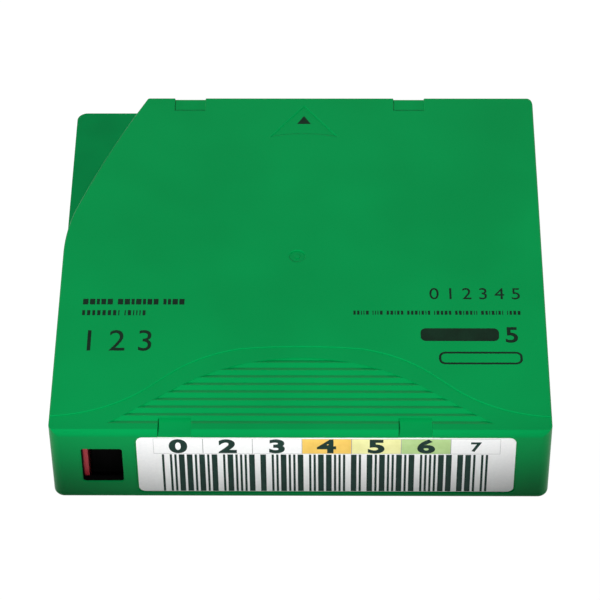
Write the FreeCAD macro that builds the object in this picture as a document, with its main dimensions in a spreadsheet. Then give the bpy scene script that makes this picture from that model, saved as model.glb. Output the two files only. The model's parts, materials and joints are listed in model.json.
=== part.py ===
import FreeCAD, Part
import math
import os
import re
import Sketcher

# Data tape cartridge. Millimetres. X runs across the label face, Y away from the label
# towards the end that enters the drive, Z up. The origin is the centre of the underside.

SIZES = [
    # alias, value, what it is
    ("case_width", 105.4, "whole case across X"),
    ("case_depth", 102.0, "whole case along Y"),
    ("case_height", 21.5, "whole case along Z"),
    ("wall", 1.6, "side walls"),
    ("roof", 1.5, "top plate"),
    ("floor_plate", 1.5, "bottom plate, up to the seam"),
    ("corner_radius", 2.3, "upright outer corners"),
    ("near_round", 1.8, "top edge above the label"),
    ("edge_round", 0.6, "other top edges"),
    ("base_round", 0.9, "bottom edge"),
    ("edge_soften", 0.2, "edges of the recesses in the case"),
    ("label_soften", 0.1, "edges of the label's recess"),
    ("seam_bevel", 0.15, "bevel of the lower case at the seam"),
    ("lip_height", 1.2, "tongue of the lower case inside the upper walls"),
    ("lip_thickness", 0.8, "tongue thickness"),
    ("lip_gap", 0.1, "tongue to wall"),
    ("ledge_drop", 5.1, "stepped corner below the top face"),
    ("ledge_far_in", 16.6, "stepped corner's edge at the far wall, in from the left side"),
    ("ledge_bend_in", 2.0, "where the slanted edge turns into the side, in from the left side"),
    ("ledge_bend_back", 36.3, "where the slanted edge turns into the side, back from the far end"),
    ("ledge_end_back", 50.0, "where the slanted edge meets the side, back from the far end"),
    ("ledge_bow", 280.0, "radius of the slanted edge"),
    ("ledge_blend", 48.0, "radius that turns it into the side"),
    ("ledge_wall", 1.7, "wall behind the slanted edge, measured along X"),
    ("bell_crown_x", 13.0, "end of the crown arc"),
    ("bell_crown_up", 23.4, "end of the crown arc from the near face"),
    ("bell_shoulder_x", 29.0, "end of the shoulder arc"),
    ("bell_shoulder_up", 15.2, "end of the shoulder arc from the near face"),
    ("bell_foot_x", 33.0, "start of the skirt arc"),
    ("bell_foot_up", 11.7, "start of the skirt arc from the near face"),
    ("bell_side_up", 4.3, "finger grip's edge at the side walls from the near face"),
    ("bell_crown_radius", 121.0, "crown arc"),
    ("bell_shoulder_radius", 32.0, "shoulder arc"),
    ("bell_skirt_radius", 34.0, "skirt arc"),
    ("bell_step", 0.25, "finger grip below the top face"),
    ("rib_first_up", 20.1, "farthest rib's far side from the near face"),
    ("rib_pitch", 2.14, "rib to rib"),
    ("rib_depth", 0.32, "rib groove depth"),
    ("rib_fall", 0.95, "far side of a rib, along Y"),
    ("rib_crown_x", 24.4, "ribbed field, end of its crown arc"),
    ("rib_crown_up", 13.8, "ribbed field, end of its crown arc from the near face"),
    ("rib_crown_radius", 44.9, "ribbed field's crown arc"),
    ("rib_side_in", 11.3, "ribbed field's near corners, in from the sides"),
    ("rib_end_up", 1.9, "ribbed field's near edge from the near face"),
    ("notch_spread", 25.2, "top notches from the reel axis"),
    ("notch_width", 7.0, "top notches across"),
    ("notch_depth", 1.25, "top notches below the top face"),
    ("near_notch_length", 4.2, "notches above the label, along Y"),
    ("near_notch_fall", 0.85, "fall of their floor to the near face"),
    ("far_notch_depth", 0.8, "notches at the far edge below the top face"),
    ("far_notch_length", 4.3, "notches at the far edge, along Y"),
    ("arrow_base_back", 13.0, "arrow recess, base corners back from the far end"),
    ("arrow_half", 7.6, "arrow recess, half width"),
    ("arrow_tip_back", 2.8, "arrow recess, tip back from the far end"),
    ("arrow_radius", 29.0, "arrow recess, bowed base"),
    ("arrow_depth", 0.3, "arrow recess depth"),
    ("gate_radius", 1.75, "gate dimple in the middle of the top"),
    ("gate_depth", 0.35, "gate dimple depth"),
    ("gate_nub", 0.6, "gate nub radius"),
    ("label_left_in", 18.3, "label's left edge, in from the left side"),
    ("label_right_in", 7.5, "label's right edge, in from the right side"),
    ("label_bottom", 1.84, "label's lower edge"),
    ("label_drop", 2.26, "label's upper edge below the top"),
    ("label_radius", 1.5, "label corners"),
    ("label_thickness", 0.12, "label paper"),
    ("label_margin", 0.3, "recess round the label"),
    ("label_recess", 0.35, "recess depth"),
    ("window_in", 6.6, "write-protect window's left edge, in from the left side"),
    ("window_width", 8.6, "write-protect window across"),
    ("window_bottom", 5.3, "write-protect window's lower edge"),
    ("window_drop", 5.8, "write-protect window's upper edge below the top"),
    ("slider_width", 5.8, "write-protect slider across"),
    ("slider_show", 1.2, "slider seen in the window at rest"),
    ("slider_thickness", 3.6, "write-protect slider along Y"),
    ("slider_travel", 7.3, "write-protect slide"),
    ("slide_gap", 0.15, "sliding pieces to the case"),
    ("rail", 0.8, "guide ribs"),
    ("rail_height", 1.4, "guide ribs, from floor or ceiling"),
    ("reel_x", -1.1, "reel axis, left of centre to leave room for the door"),
    ("flange_gap", 0.9, "reel flanges to the near and far walls"),
    ("door_room", 4.2, "reel flanges to the sides, with room for the door"),
    ("flange_thickness", 1.0, "reel flanges at the hub"),
    ("flange_taper", 0.25, "thinning to the rim"),
    ("hub_radius", 22.0, "winding surface"),
    ("hub_wall", 2.4, "hub wall"),
    ("hub_web", 1.8, "hub floor"),
    ("reel_room", 8.85, "height of the case that isn't tape"),
    ("tape_gap", 0.15, "tape to each flange"),
    ("pack_margin", 3.0, "wound tape inside the flanges' rims"),
    ("reel_seat_height", 0.6, "seat ring round the drive hole above the floor"),
    ("reel_seat_width", 2.2, "seat ring"),
    ("rest_gap", 0.05, "pieces that rest on each other but move"),
    ("flange_lift", 0.85, "lower flange above the hub's underside"),
    ("drive_hole_radius", 18.0, "hole in the lower case"),
    ("drive_ring_inner", 12.2, "toothed ring"),
    ("drive_ring_outer", 17.3, "toothed ring"),
    ("drive_ring_root", 0.5, "toothed ring under the hub floor, to the tooth roots"),
    ("drive_tooth_height", 0.9, "drive teeth"),
    ("drive_tooth_width", 1.1, "drive tooth at its root"),
    ("plate_inner", 4.6, "steel clutch ring"),
    ("plate_thickness", 0.8, "steel clutch ring"),
    ("plate_gap", 0.1, "steel ring to toothed ring"),
    ("leg_circle", 14.6, "spider legs from the reel axis"),
    ("leg_radius", 1.6, "spider legs"),
    ("leg_gap", 0.3, "spider legs in their holes"),
    ("leg_reach", 1.05, "spider legs' lower end above the underside"),
    ("spider_thickness", 1.4, "spider plate"),
    ("spider_arm", 5.4, "spider arms across"),
    ("arm_gap", 0.6, "spider arms between the brake sectors"),
    ("brake_ring_inner", 12.2, "brake teeth"),
    ("brake_ring_outer", 16.8, "brake teeth"),
    ("brake_sector_height", 2.2, "brake sectors above the hub floor"),
    ("brake_tooth_height", 1.0, "brake teeth"),
    ("brake_tooth_width", 1.8, "brake tooth at its root"),
    ("brake_mesh_gap", 0.12, "brake teeth above the sector roots"),
    ("brake_disc", 1.5, "brake disc thickness"),
    ("brake_disc_radius", 17.6, "brake disc"),
    ("brake_post_radius", 6.0, "brake post"),
    ("post_drop", 5.1, "brake post's top below the top"),
    ("brake_lift", 1.7, "brake travel"),
    ("key_length", 9.0, "cross key in the brake post"),
    ("key_thickness", 2.0, "cross key"),
    ("key_gap", 0.15, "cross key to its slots"),
    ("key_room", 0.2, "cross key above its slots' floor with the brake lifted"),
    ("key_slot_floor", 9.3, "bottom of the key's slots in the post"),
    ("spring_radius", 8.2, "brake spring, middle of its wire"),
    ("spring_wire", 0.35, "brake spring wire radius"),
    ("spring_turns", 4.0, "brake spring turns"),
    ("pin_in", 7.4, "leader pin, in from the door's side"),
    ("pin_back", 10.5, "leader pin, back from the far end"),
    ("pin_core", 1.3, "leader pin core radius"),
    ("pin_flange", 2.4, "leader pin flange radius"),
    ("pin_flange_height", 1.0, "leader pin flanges"),
    ("pin_over", 3.75, "leader pin longer than the tape is wide"),
    ("pin_gap", 0.1, "leader pin in its pockets"),
    ("pin_bottom", 2.4, "leader pin's lower end"),
    ("pocket_wall", 0.9, "pin pocket walls"),
    ("pocket_reach", 1.7, "pin pocket from the pin towards the door"),
    ("clip_thickness", 0.6, "clip on the pin"),
    ("tape_thickness", 0.2, "leader tape with its clip film"),
    ("leaf", 0.25, "pin spring steel"),
    ("leaf_arm", 2.14, "pin spring's arm from the pin's axis"),
    ("leaf_bend", 1.1, "where the arm bends round the pin's flange"),
    ("leaf_hook", 0.6, "hooked end along X"),
    ("leaf_tip", 0.3, "hooked end past the pin's axis"),
    ("leaf_in", 14.2, "pin spring's fixed end, in from the door's side"),
    ("door_thickness", 1.2, "access door"),
    ("door_back", 2.9, "closed door's far end, back from the far end"),
    ("door_length", 17.2, "access door along Y"),
    ("door_travel", 16.4, "access door's opening"),
    ("door_overlap", 1.5, "door past the opening at each end"),
    ("doorway_drop", 2.3, "opening in the side wall below the top"),
    ("coil_radius", 0.92, "door spring, middle of its wire"),
    ("coil_wire", 0.22, "door spring wire radius"),
    ("coil_turns", 9.0, "door spring turns"),
    ("coil_height", 5.2, "door spring's axis above the underside"),
    ("coil_room", 22.5, "room for the door spring between its post and the door"),
    ("spigot_radius", 0.6, "door's spigot in its spring"),
    ("spigot_length", 2.5, "door's spigot in its spring"),
    ("chamber_gap", 0.7, "ribs round the reel to its flanges"),
    ("chamber_rib", 1.0, "ribs round the reel"),
    ("chamber_low", 6.5, "top of the lower case's ribs round the reel"),
    ("chamber_high", 7.0, "lower end of the upper case's ribs round the reel"),
    ("screw_left_in", 9.1, "left screws, in from the left side"),
    ("screw_near_right_in", 8.7, "screw near the memory, in from the door's side"),
    ("screw_far_right_in", 19.3, "screw near the leader pin, in from the door's side"),
    ("screw_near_up", 13.2, "near screws from the near face"),
    ("screw_far_left_back", 12.4, "far left screw, back from the far end"),
    ("screw_far_right_back", 5.1, "far right screw, back from the far end"),
    ("screw_radius", 1.1, "screw shank"),
    ("screw_room", 10.5, "height of the case that the screws' shanks leave"),
    ("screw_head", 2.0, "screw head radius"),
    ("screw_head_height", 1.1, "screw head"),
    ("screw_sink", 1.3, "screw seat above the underside"),
    ("screw_hole_gap", 0.25, "screw in the lower case"),
    ("screw_bite", 0.02, "screw in the upper case"),
    ("boss_radius", 2.6, "screw bosses"),
    ("boss_split", 3.0, "where the two halves' bosses meet"),
    ("board_in", 18.1, "memory board, in from the door's side"),
    ("board_width", 15.6, "memory board"),
    ("board_length", 8.5, "memory board along its slope"),
    ("board_thickness", 0.5, "memory board"),
    ("board_lift", 0.3, "memory board's lower edge above the floor"),
    ("board_foot_up", 8.1, "foot of the memory board's slope from the near face"),
    ("chip_side", 4.2, "memory chip"),
    ("chip_height", 0.7, "memory chip"),
    ("locator_in", 6.7, "locating holes, in from the sides"),
    ("locator_up", 24.0, "locating holes from the near face"),
    ("locator_radius", 1.6, "locating holes"),
    ("locator_depth", 2.6, "locating holes"),
    ("locator_wall", 1.1, "wall round the locating holes"),
    ("locator_slot", 1.6, "extra length of the slotted one"),
]
WORKED_OUT = [
    # alias, formula, what it is
    ("ledge_far_x", "ledge_far_in - case_width / 2", "stepped corner's edge at the far wall"),
    ("ledge_bend_x", "ledge_bend_in - case_width / 2", "where the slanted edge turns into the side"),
    ("ledge_bend_y", "case_depth / 2 - ledge_bend_back", "where the slanted edge turns into the side"),
    ("ledge_end_y", "case_depth / 2 - ledge_end_back", "where the slanted edge meets the side"),
    ("bell_crown_y", "bell_crown_up - case_depth / 2", "end of the crown arc"),
    ("bell_shoulder_y", "bell_shoulder_up - case_depth / 2", "end of the shoulder arc"),
    ("bell_foot_y", "bell_foot_up - case_depth / 2", "start of the skirt arc"),
    ("bell_side_y", "bell_side_up - case_depth / 2", "finger grip's edge at the side walls"),
    ("rib_first_y", "rib_first_up - case_depth / 2", "farthest rib's far side"),
    ("rib_crown_y", "rib_crown_up - case_depth / 2", "ribbed field, end of its crown arc"),
    ("rib_side_x", "case_width / 2 - rib_side_in", "ribbed field, half width at its near edge"),
    ("rib_end_y", "rib_end_up - case_depth / 2", "ribbed field's near edge"),
    ("arrow_base_y", "case_depth / 2 - arrow_base_back", "arrow recess, base corners"),
    ("arrow_tip_y", "case_depth / 2 - arrow_tip_back", "arrow recess, tip"),
    ("label_left", "label_left_in - case_width / 2", "label's left edge"),
    ("label_width", "case_width - label_left_in - label_right_in", "label across"),
    ("label_height", "case_height - label_bottom - label_drop", "label height"),
    ("window_left", "window_in - case_width / 2", "write-protect window's left edge"),
    ("window_height", "case_height - window_bottom - window_drop", "write-protect window height"),
    ("flange_radius", "min(case_depth / 2 - wall - flange_gap; case_width / 2 - door_room)", "reel flanges"),
    ("tape_width", "case_height - reel_room", "tape"),
    ("pack_radius", "flange_radius - pack_margin", "wound tape"),
    ("brake_post_top", "case_height - post_drop", "brake post's top"),
    ("key_bottom", "key_slot_floor + brake_lift + key_room", "cross key's lower end"),
    ("pin_x", "case_width / 2 - pin_in", "leader pin"),
    ("pin_y", "case_depth / 2 - pin_back", "leader pin"),
    ("pin_length", "tape_width + pin_over", "leader pin overall"),
    ("leaf_left", "case_width / 2 - leaf_in", "pin spring's fixed end"),
    ("door_far_y", "case_depth / 2 - door_back", "closed door's far end"),
    ("door_window_top", "case_height - doorway_drop", "opening in the side wall"),
    ("coil_post_y", "door_far_y - door_length - coil_room", "post that the door spring pushes from"),
    ("chamber_radius", "flange_radius + chamber_gap", "ribs round the reel"),
    ("screw_left_x", "screw_left_in - case_width / 2", "screws on the left"),
    ("screw_near_right_x", "case_width / 2 - screw_near_right_in", "screw near the memory"),
    ("screw_far_right_x", "case_width / 2 - screw_far_right_in", "screw near the leader pin"),
    ("screw_near_y", "screw_near_up - case_depth / 2", "near screws"),
    ("screw_far_left_y", "case_depth / 2 - screw_far_left_back", "far left screw"),
    ("screw_far_right_y", "case_depth / 2 - screw_far_right_back", "far right screw"),
    ("screw_length", "case_height - screw_room", "screw under its head"),
    ("board_left", "case_width / 2 - board_in", "memory board"),
    ("board_foot_y", "board_foot_up - case_depth / 2", "foot of the memory board's slope"),
    ("locator_x", "case_width / 2 - locator_in", "locating holes from the centre line"),
    ("locator_y", "locator_up - case_depth / 2", "locating holes"),
]
DRIVE_TEETH = 60
BRAKE_TEETH = 36
LEGS = 3
RIBS = 9
COIL_SIDES = 12
CHAMBER_STARTS = {"left": -152, "right": -62}
CHAMBER_SWEEP = 34
CLIP_START = 60
CLIP_SWEEP = 250

doc = FreeCAD.newDocument("tape_cartridge")
sheet = doc.addObject("Spreadsheet::Sheet", "Sizes")
ROWS = SIZES + [(alias, f"={formula}", note) for alias, formula, note in WORKED_OUT]
for row, (alias, value, note) in enumerate(ROWS, start=1):
    sheet.set(f"A{row}", alias)
    sheet.set(f"B{row}", str(value))
    sheet.set(f"C{row}", note)
    sheet.setAlias(f"B{row}", alias)
doc.recompute()
NAMES = re.compile(r"\b(" + "|".join(alias for alias, _, _ in ROWS) + r")\b")


# ---- helpers: every text below is an expression in the sheet's names ----

def tied(text):
    """The expression with each size's name pointing at its cell."""
    return NAMES.sub(r"Sizes.\1", str(text))


def number(text):
    """What an expression is worth now."""
    worth = sheet.evalExpression(tied(text))
    return float(getattr(worth, "Value", worth))


def bind(thing, **properties):
    """Ties properties to expressions; a double underscore stands for a dot."""
    for name, text in properties.items():
        thing.setExpression(name.replace("__", "."), tied(text))
    return thing


def place(thing, x="0", y="0", z="0"):
    """Ties a placement's three coordinates."""
    return bind(thing, Placement__Base__x=x, Placement__Base__y=y, Placement__Base__z=z)


def turn(thing, axis, degrees):
    """Turns a thing about an axis through its own base point."""
    thing.Placement = FreeCAD.Placement(
        thing.Placement.Base, FreeCAD.Rotation(FreeCAD.Vector(*axis), degrees))
    return thing


def block(name, low, size):
    """A box from its low corner and its three sides."""
    box = doc.addObject("Part::Box", name)
    bind(box, Length=size[0], Width=size[1], Height=size[2])
    return place(box, *low)


def rod(name, foot, radius, height, sweep=None):
    """An upright cylinder from the middle of its foot."""
    cylinder = bind(doc.addObject("Part::Cylinder", name), Radius=radius, Height=height)
    if sweep:
        cylinder.Angle = sweep
    return place(cylinder, *foot)


def fuse(name, *pieces):
    """All pieces as one."""
    whole = doc.addObject("Part::MultiFuse", name)
    whole.Shapes = list(pieces)
    return whole


def common(name, *pieces):
    """What all pieces share."""
    shared = doc.addObject("Part::MultiCommon", name)
    shared.Shapes = list(pieces)
    return shared


def cut(name, base, *tools):
    """The base without the tools."""
    difference = doc.addObject("Part::Cut", name)
    difference.Base = base
    difference.Tool = tools[0] if len(tools) == 1 else fuse(name + "_tools", *tools)
    return difference


def body(name, x="0", y="0", z="0"):
    """An empty body at its place."""
    return place(doc.addObject("PartDesign::Body", name), x, y, z)


def datum(owner, role):
    """One of a body's own origin planes or axes."""
    return next(f for f in owner.Origin.OriginFeatures if f.Role == role)


class Bow:
    """The next stretch of an outline is an arc that bulges to one side of its way."""

    def __init__(self, radius, side):
        self.radius = radius
        self.side = side


def sign(value):
    """-1, 0 or 1."""
    return (value > 1e-9) - (value < -1e-9)


def rounded(outline):
    """Turns each corner given with a radius, between square sides, into an arc."""
    corners = [item for item in outline if not isinstance(item, Bow)]
    result = []
    for item in outline:
        if isinstance(item, Bow) or len(item) == 2:
            result.append(item)
            continue
        place_in = corners.index(item)
        x, y, radius = item
        before = corners[place_in - 1]
        after = corners[(place_in + 1) % len(corners)]
        way_in = [sign(number(item[k]) - number(before[k])) for k in (0, 1)]
        way_out = [sign(number(after[k]) - number(item[k])) for k in (0, 1)]
        turns_left = way_in[0] * way_out[1] - way_in[1] * way_out[0]
        result.append((f"{x} - ({way_in[0]}) * ({radius})", f"{y} - ({way_in[1]}) * ({radius})"))
        result.append(Bow(radius, -turns_left))
        result.append((f"{x} + ({way_out[0]}) * ({radius})", f"{y} + ({way_out[1]}) * ({radius})"))
    return result


def sketch(owner, name, role, outline=(), circles=(), lift="0"):
    """A fully tied sketch on one of the body's own planes: an outline, circles or both."""
    drawing = owner.newObject("Sketcher::SketchObject", name)
    drawing.AttachmentSupport = (datum(owner, role), "")
    drawing.MapMode = "FlatFace"
    bind(drawing, AttachmentOffset__Base__z=lift)

    def hold(kind, *where, text):
        index = drawing.addConstraint(Sketcher.Constraint(kind, *where, number(text)))
        drawing.setExpression(f"Constraints[{index}]", tied(text))

    points, bows = [], {}
    for item in rounded(outline):
        if isinstance(item, Bow):
            bows[len(points) - 1] = item
        else:
            points.append(item)
    spots = [FreeCAD.Vector(number(x), number(y), 0) for x, y in points]
    for i, start in enumerate(spots):
        end = spots[(i + 1) % len(spots)]
        if i not in bows:
            drawing.addGeometry(Part.LineSegment(start, end), False)
            continue
        radius = number(bows[i].radius)
        along = end - start
        sagitta = radius - math.sqrt(max(radius ** 2 - (along.Length / 2) ** 2, 0))
        left = FreeCAD.Vector(-along.y, along.x, 0).normalize()
        middle = (start + end) * 0.5 + left * sagitta * bows[i].side
        drawing.addGeometry(Part.Arc(start, middle, end), False)
    for i, (x, y) in enumerate(points):
        following = (i + 1) % len(points)
        # an arc always runs anticlockwise, so its ends are matched by place
        near_end = 1 if drawing.getPoint(i, 1).isEqual(spots[i], 1e-6) else 2
        next_start = 1 if drawing.getPoint(following, 1).isEqual(spots[following], 1e-6) else 2
        drawing.addConstraint(
            Sketcher.Constraint("Coincident", i, 3 - near_end, following, next_start))
        hold("DistanceX", -1, 1, i, near_end, text=x)
        hold("DistanceY", -1, 1, i, near_end, text=y)
        if i in bows:
            hold("Radius", i, text=bows[i].radius)
    for x, y, radius in circles:
        centre = FreeCAD.Vector(number(x), number(y), 0)
        index = drawing.addGeometry(
            Part.Circle(centre, FreeCAD.Vector(0, 0, 1), number(radius)), False)
        hold("DistanceX", -1, 1, index, 3, text=x)
        hold("DistanceY", -1, 1, index, 3, text=y)
        hold("Radius", index, text=radius)
    return drawing


def pad(owner, name, drawing, length, both=False, back=False):
    """Thickens a sketch."""
    feature = owner.newObject("PartDesign::Pad", name)
    feature.Profile = drawing
    feature.SideType = "Symmetric" if both else "One side"
    feature.Reversed = back
    return bind(feature, Length=length)


def pocket(owner, name, drawing, length, both=False, back=False):
    """Cuts a sketch out."""
    feature = owner.newObject("PartDesign::Pocket", name)
    feature.Profile = drawing
    feature.SideType = "Symmetric" if both else "One side"
    feature.Reversed = back
    return bind(feature, Length=length)


def revolve(owner, name, drawing):
    """Turns a half profile about the body's upright axis."""
    feature = owner.newObject("PartDesign::Revolution", name)
    feature.Profile = drawing
    feature.ReferenceAxis = (datum(owner, "Z_Axis"), [""])
    feature.Angle = 360
    return feature


def around(owner, name, feature, count):
    """Repeats a feature about the body's upright axis."""
    pattern = owner.newObject("PartDesign::PolarPattern", name)
    pattern.Originals = [feature]
    pattern.Axis = (datum(owner, "Z_Axis"), [""])
    pattern.Angle = 360
    pattern.Occurrences = count
    owner.Tip = pattern
    return pattern


def prism(name, role, outline, length, lift="0", both=False, back=False):
    """A body that is one padded outline."""
    owner = body(name)
    pad(owner, name + "_pad", sketch(owner, name + "_outline", role, outline, lift=lift),
        length, both, back)
    return owner


def rectangle(x0, y0, x1, y1, radius=None):
    """An outline with square or round corners."""
    corners = [(x0, y0), (x1, y0), (x1, y1), (x0, y1)]
    return [(x, y, radius) for x, y in corners] if radius else corners


def softened(name, base, wanted):
    """Rounds the base's edges by the radius that wanted gives for an edge's box, if any."""
    doc.recompute()
    soft = doc.addObject("Part::Fillet", name)
    soft.Base = base
    found = [(i, wanted(edge.BoundBox)) for i, edge in enumerate(base.Shape.Edges, start=1)]
    soft.Edges = [(i, number(radius), number(radius)) for i, radius in found if radius]
    return soft


# ---- places that several pieces share ----

HALF_X = "case_width / 2"
HALF_Y = "case_depth / 2"
CEILING = "case_height - roof"
LEDGE_TOP = "case_height - ledge_drop"
GRIP = "case_height - bell_step"
IN_X = "(case_width / 2 - wall)"
IN_Y = "(case_depth / 2 - wall)"

HUB_UNDER = "(floor_plate + reel_seat_height + rest_gap)"
WEB_TOP = f"({HUB_UNDER} + hub_web)"
FLANGE_LOW = f"({HUB_UNDER} + flange_lift)"
FLANGE_TOP = f"({FLANGE_LOW} + flange_thickness)"
TAPE_LOW = f"({FLANGE_TOP} + tape_gap)"
TAPE_HIGH = f"({TAPE_LOW} + tape_width)"
HUB_TOP = f"({TAPE_HIGH} + tape_gap)"
SECTOR_ROOT = f"({WEB_TOP} + brake_sector_height)"
SPIDER_LOW = f"({WEB_TOP} + rest_gap)"
SPIDER_TOP = f"({SPIDER_LOW} + spider_thickness)"
BRAKE_UNDER = f"({SECTOR_ROOT} + brake_tooth_height + brake_mesh_gap)"
BRAKE_TOP = f"({BRAKE_UNDER} + brake_disc)"

DOOR_OUT = f"({IN_X} - slide_gap)"
DOOR_IN = f"({DOOR_OUT} - door_thickness)"
RAIL_X = f"({DOOR_IN} - slide_gap - rail)"
DOOR_NEAR = "(door_far_y - door_length)"
COIL_X = f"({DOOR_OUT} - coil_radius - coil_wire)"
PIN_TOP = "(pin_bottom + pin_length)"
SLIDER_NEAR = f"(-{IN_Y} + slide_gap)"
SLIDER_FAR = f"({SLIDER_NEAR} + slider_thickness)"
SLIDER_LEFT = "(window_left + slider_show - slider_width)"
WINDOW_RIGHT = "(window_left + window_width)"
CLIP_OUT = "(pin_core + rest_gap + clip_thickness)"

SCREWS = [
    ("near_left", "screw_left_x", "screw_near_y", CEILING),
    ("near_right", "screw_near_right_x", "screw_near_y", CEILING),
    ("far_left", "screw_left_x", "screw_far_left_y", f"{LEDGE_TOP} - roof"),
    ("far_right", "screw_far_right_x", "screw_far_right_y", CEILING),
]
HALF_TOOTH = 180 / BRAKE_TEETH


def ledge_outline(shift):
    """The stepped corner in plan, moved inwards along X by a wall."""
    return [
        (f"-{HALF_X} - 1", "ledge_end_y"),
        (f"-{HALF_X} + {shift}", "ledge_end_y"),
        Bow("ledge_blend", 1),
        (f"ledge_bend_x + {shift}", "ledge_bend_y"),
        Bow("ledge_bow", 1),
        (f"ledge_far_x + {shift}", HALF_Y),
        (f"ledge_far_x + {shift}", f"{HALF_Y} + 1"),
        (f"-{HALF_X} - 1", f"{HALF_Y} + 1"),
    ]


def grip_outline():
    """The bell-shaped finger grip in plan, out past the near face and the sides."""
    right = [
        (f"{HALF_X} + 1", f"-{HALF_Y} - 1"),
        (f"{HALF_X} + 1", "bell_side_y"),
        (HALF_X, "bell_side_y"),
        Bow("bell_skirt_radius", 1),
        ("bell_foot_x", "bell_foot_y"),
        ("bell_shoulder_x", "bell_shoulder_y"),
        Bow("bell_shoulder_radius", -1),
        ("bell_crown_x", "bell_crown_y"),
    ]
    left = [p if isinstance(p, Bow) else (f"-({p[0]})", p[1]) for p in reversed(right)]
    return right + [Bow("bell_crown_radius", -1)] + left


def rib_cutter():
    """Sawtooth grooves: each rib slopes up away from the near face and falls off behind."""
    top = "case_height + 1"
    far_end = "rib_first_y + rib_pitch - rib_fall / 2"
    teeth = [(far_end, top), (far_end, GRIP)]
    for i in range(RIBS):
        line = f"rib_first_y - rib_pitch * {i}"
        teeth.append((f"{line} + rib_fall / 2", f"{GRIP} - rib_depth"))
        teeth.append((f"{line} - rib_fall / 2", GRIP))
    teeth.append((f"rib_first_y - rib_pitch * {RIBS - 1} - rib_fall / 2", top))
    saw = prism("rib_saw", "YZ_Plane", teeth, "rib_side_x * 2 + 2", both=True)
    field = prism("rib_field", "XY_Plane", [
        ("-rib_side_x", "rib_end_y"),
        ("rib_side_x", "rib_end_y"),
        ("rib_crown_x", "rib_crown_y"),
        Bow("rib_crown_radius", -1),
        ("-rib_crown_x", "rib_crown_y"),
    ], "rib_depth + bell_step + 2", lift=f"{GRIP} - rib_depth - 1")
    return common("rib_grooves", saw, field)


def notch_cutters():
    """Two ramped notches above the label and two level ones at the far edge."""
    floor_z = "case_height - notch_depth"
    cutters = []
    for side, way in (("left", -1), ("right", 1)):
        low_x = f"reel_x + ({way}) * notch_spread - notch_width / 2"
        ramp = prism(f"near_notch_{side}", "YZ_Plane", [
            (f"-{HALF_Y} - 1", f"{floor_z} - near_notch_fall"),
            (f"-{HALF_Y}", f"{floor_z} - near_notch_fall"),
            (f"-{HALF_Y} + near_notch_length", floor_z),
            (f"-{HALF_Y} + near_notch_length", "case_height + 1"),
            (f"-{HALF_Y} - 1", "case_height + 1"),
        ], "notch_width", lift=low_x)
        level = block(f"far_notch_{side}",
                      (low_x, f"{HALF_Y} - far_notch_length", "case_height - far_notch_depth"),
                      ("notch_width", "far_notch_length + 1", "far_notch_depth + 1"))
        cutters += [ramp, level]
    return cutters


def notch_backs():
    """Thicker roof under the notches."""
    backs = []
    for side, way in (("left", -1), ("right", 1)):
        low_x = f"reel_x + ({way}) * notch_spread - notch_width / 2 - 1"
        for end, low_y, length in (
                ("near", f"-{IN_Y} - wall / 2", "near_notch_length - wall / 2 + 1"),
                ("far", f"{HALF_Y} - far_notch_length - 1", "far_notch_length + 1 - wall / 2")):
            backs.append(block(f"{end}_back_{side}", (low_x, low_y, f"{CEILING} - roof"),
                               ("notch_width + 2", length, "roof + roof / 2")))
    return backs


def chamber_rib(half, side, low, high):
    """A rib round the reel in one near corner."""
    name = f"{half}_rib_{side}"
    foot = ("reel_x", "0", low)
    tall = f"{high} - ({low})"
    outer = rod(name + "_outer", foot, "chamber_radius + chamber_rib", tall, CHAMBER_SWEEP)
    turn(outer, (0, 0, 1), CHAMBER_STARTS[side])
    return cut(name, outer, rod(name + "_inner", foot, "chamber_radius", tall))


def cross(name, length, thickness, low, high):
    """A plus-shaped column on the reel axis."""
    bars = []
    for tag, x, y in (("x", length, thickness), ("y", thickness, length)):
        bars.append(block(f"{name}_{tag}", (f"reel_x - ({x}) / 2", f"-({y}) / 2", low),
                          (x, y, f"{high} - ({low})")))
    return fuse(name, *bars)


def door_rails(tag, low, high, reach):
    """The inner guide of the door's track, open where the leader pin passes."""
    stretches = (
        ("near", f"{DOOR_NEAR} - door_travel", "pin_y - pin_flange - pocket_wall - 1"),
        ("far", "pin_y + pin_flange + pocket_wall + 1", f"{IN_Y} + ({reach})"),
    )
    return [block(f"door_rail_{tag}_{end}", (RAIL_X, start, low),
                  ("rail", f"{stop} - ({start})", f"{high} - ({low})"))
            for end, start, stop in stretches]


def pin_pocket(tag, low, high, recess_low, recess_high):
    """A block that holds one end of the leader pin, open towards the door."""
    reach = "pin_flange + pin_gap"
    holder = block(f"pocket_block_{tag}",
                   (f"pin_x - {reach} - pocket_wall", f"pin_y - {reach} - pocket_wall", low),
                   (f"{reach} + pocket_wall + pocket_reach",
                    f"({reach} + pocket_wall) * 2", f"{high} - ({low})"))
    tall = f"{recess_high} - ({recess_low})"
    return cut(f"pin_pocket_{tag}", holder,
               rod(f"pocket_round_{tag}", ("pin_x", "pin_y", recess_low), reach, tall),
               block(f"pocket_way_{tag}", ("pin_x", f"pin_y - {reach}", recess_low),
                     ("pocket_reach + 1", f"({reach}) * 2", tall)))


def slider_guides(tag, low, high, reach):
    """The rib behind the write-protect slider and the stop at its right."""
    tall = f"{high} - ({low})"
    rear_y = f"{SLIDER_FAR} + slide_gap"
    stop_x = f"{WINDOW_RIGHT} + rail"
    return [
        block(f"slider_rear_{tag}", (f"-{IN_X} - ({reach})", rear_y, low),
              (f"{stop_x} + rail + {IN_X} + {reach}", "rail", tall)),
        block(f"slider_stop_{tag}", (stop_x, f"-{IN_Y} - ({reach})", low),
              ("rail", f"{rear_y} + rail + {IN_Y} + {reach}", tall)),
    ]


# ---- the case ----

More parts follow.
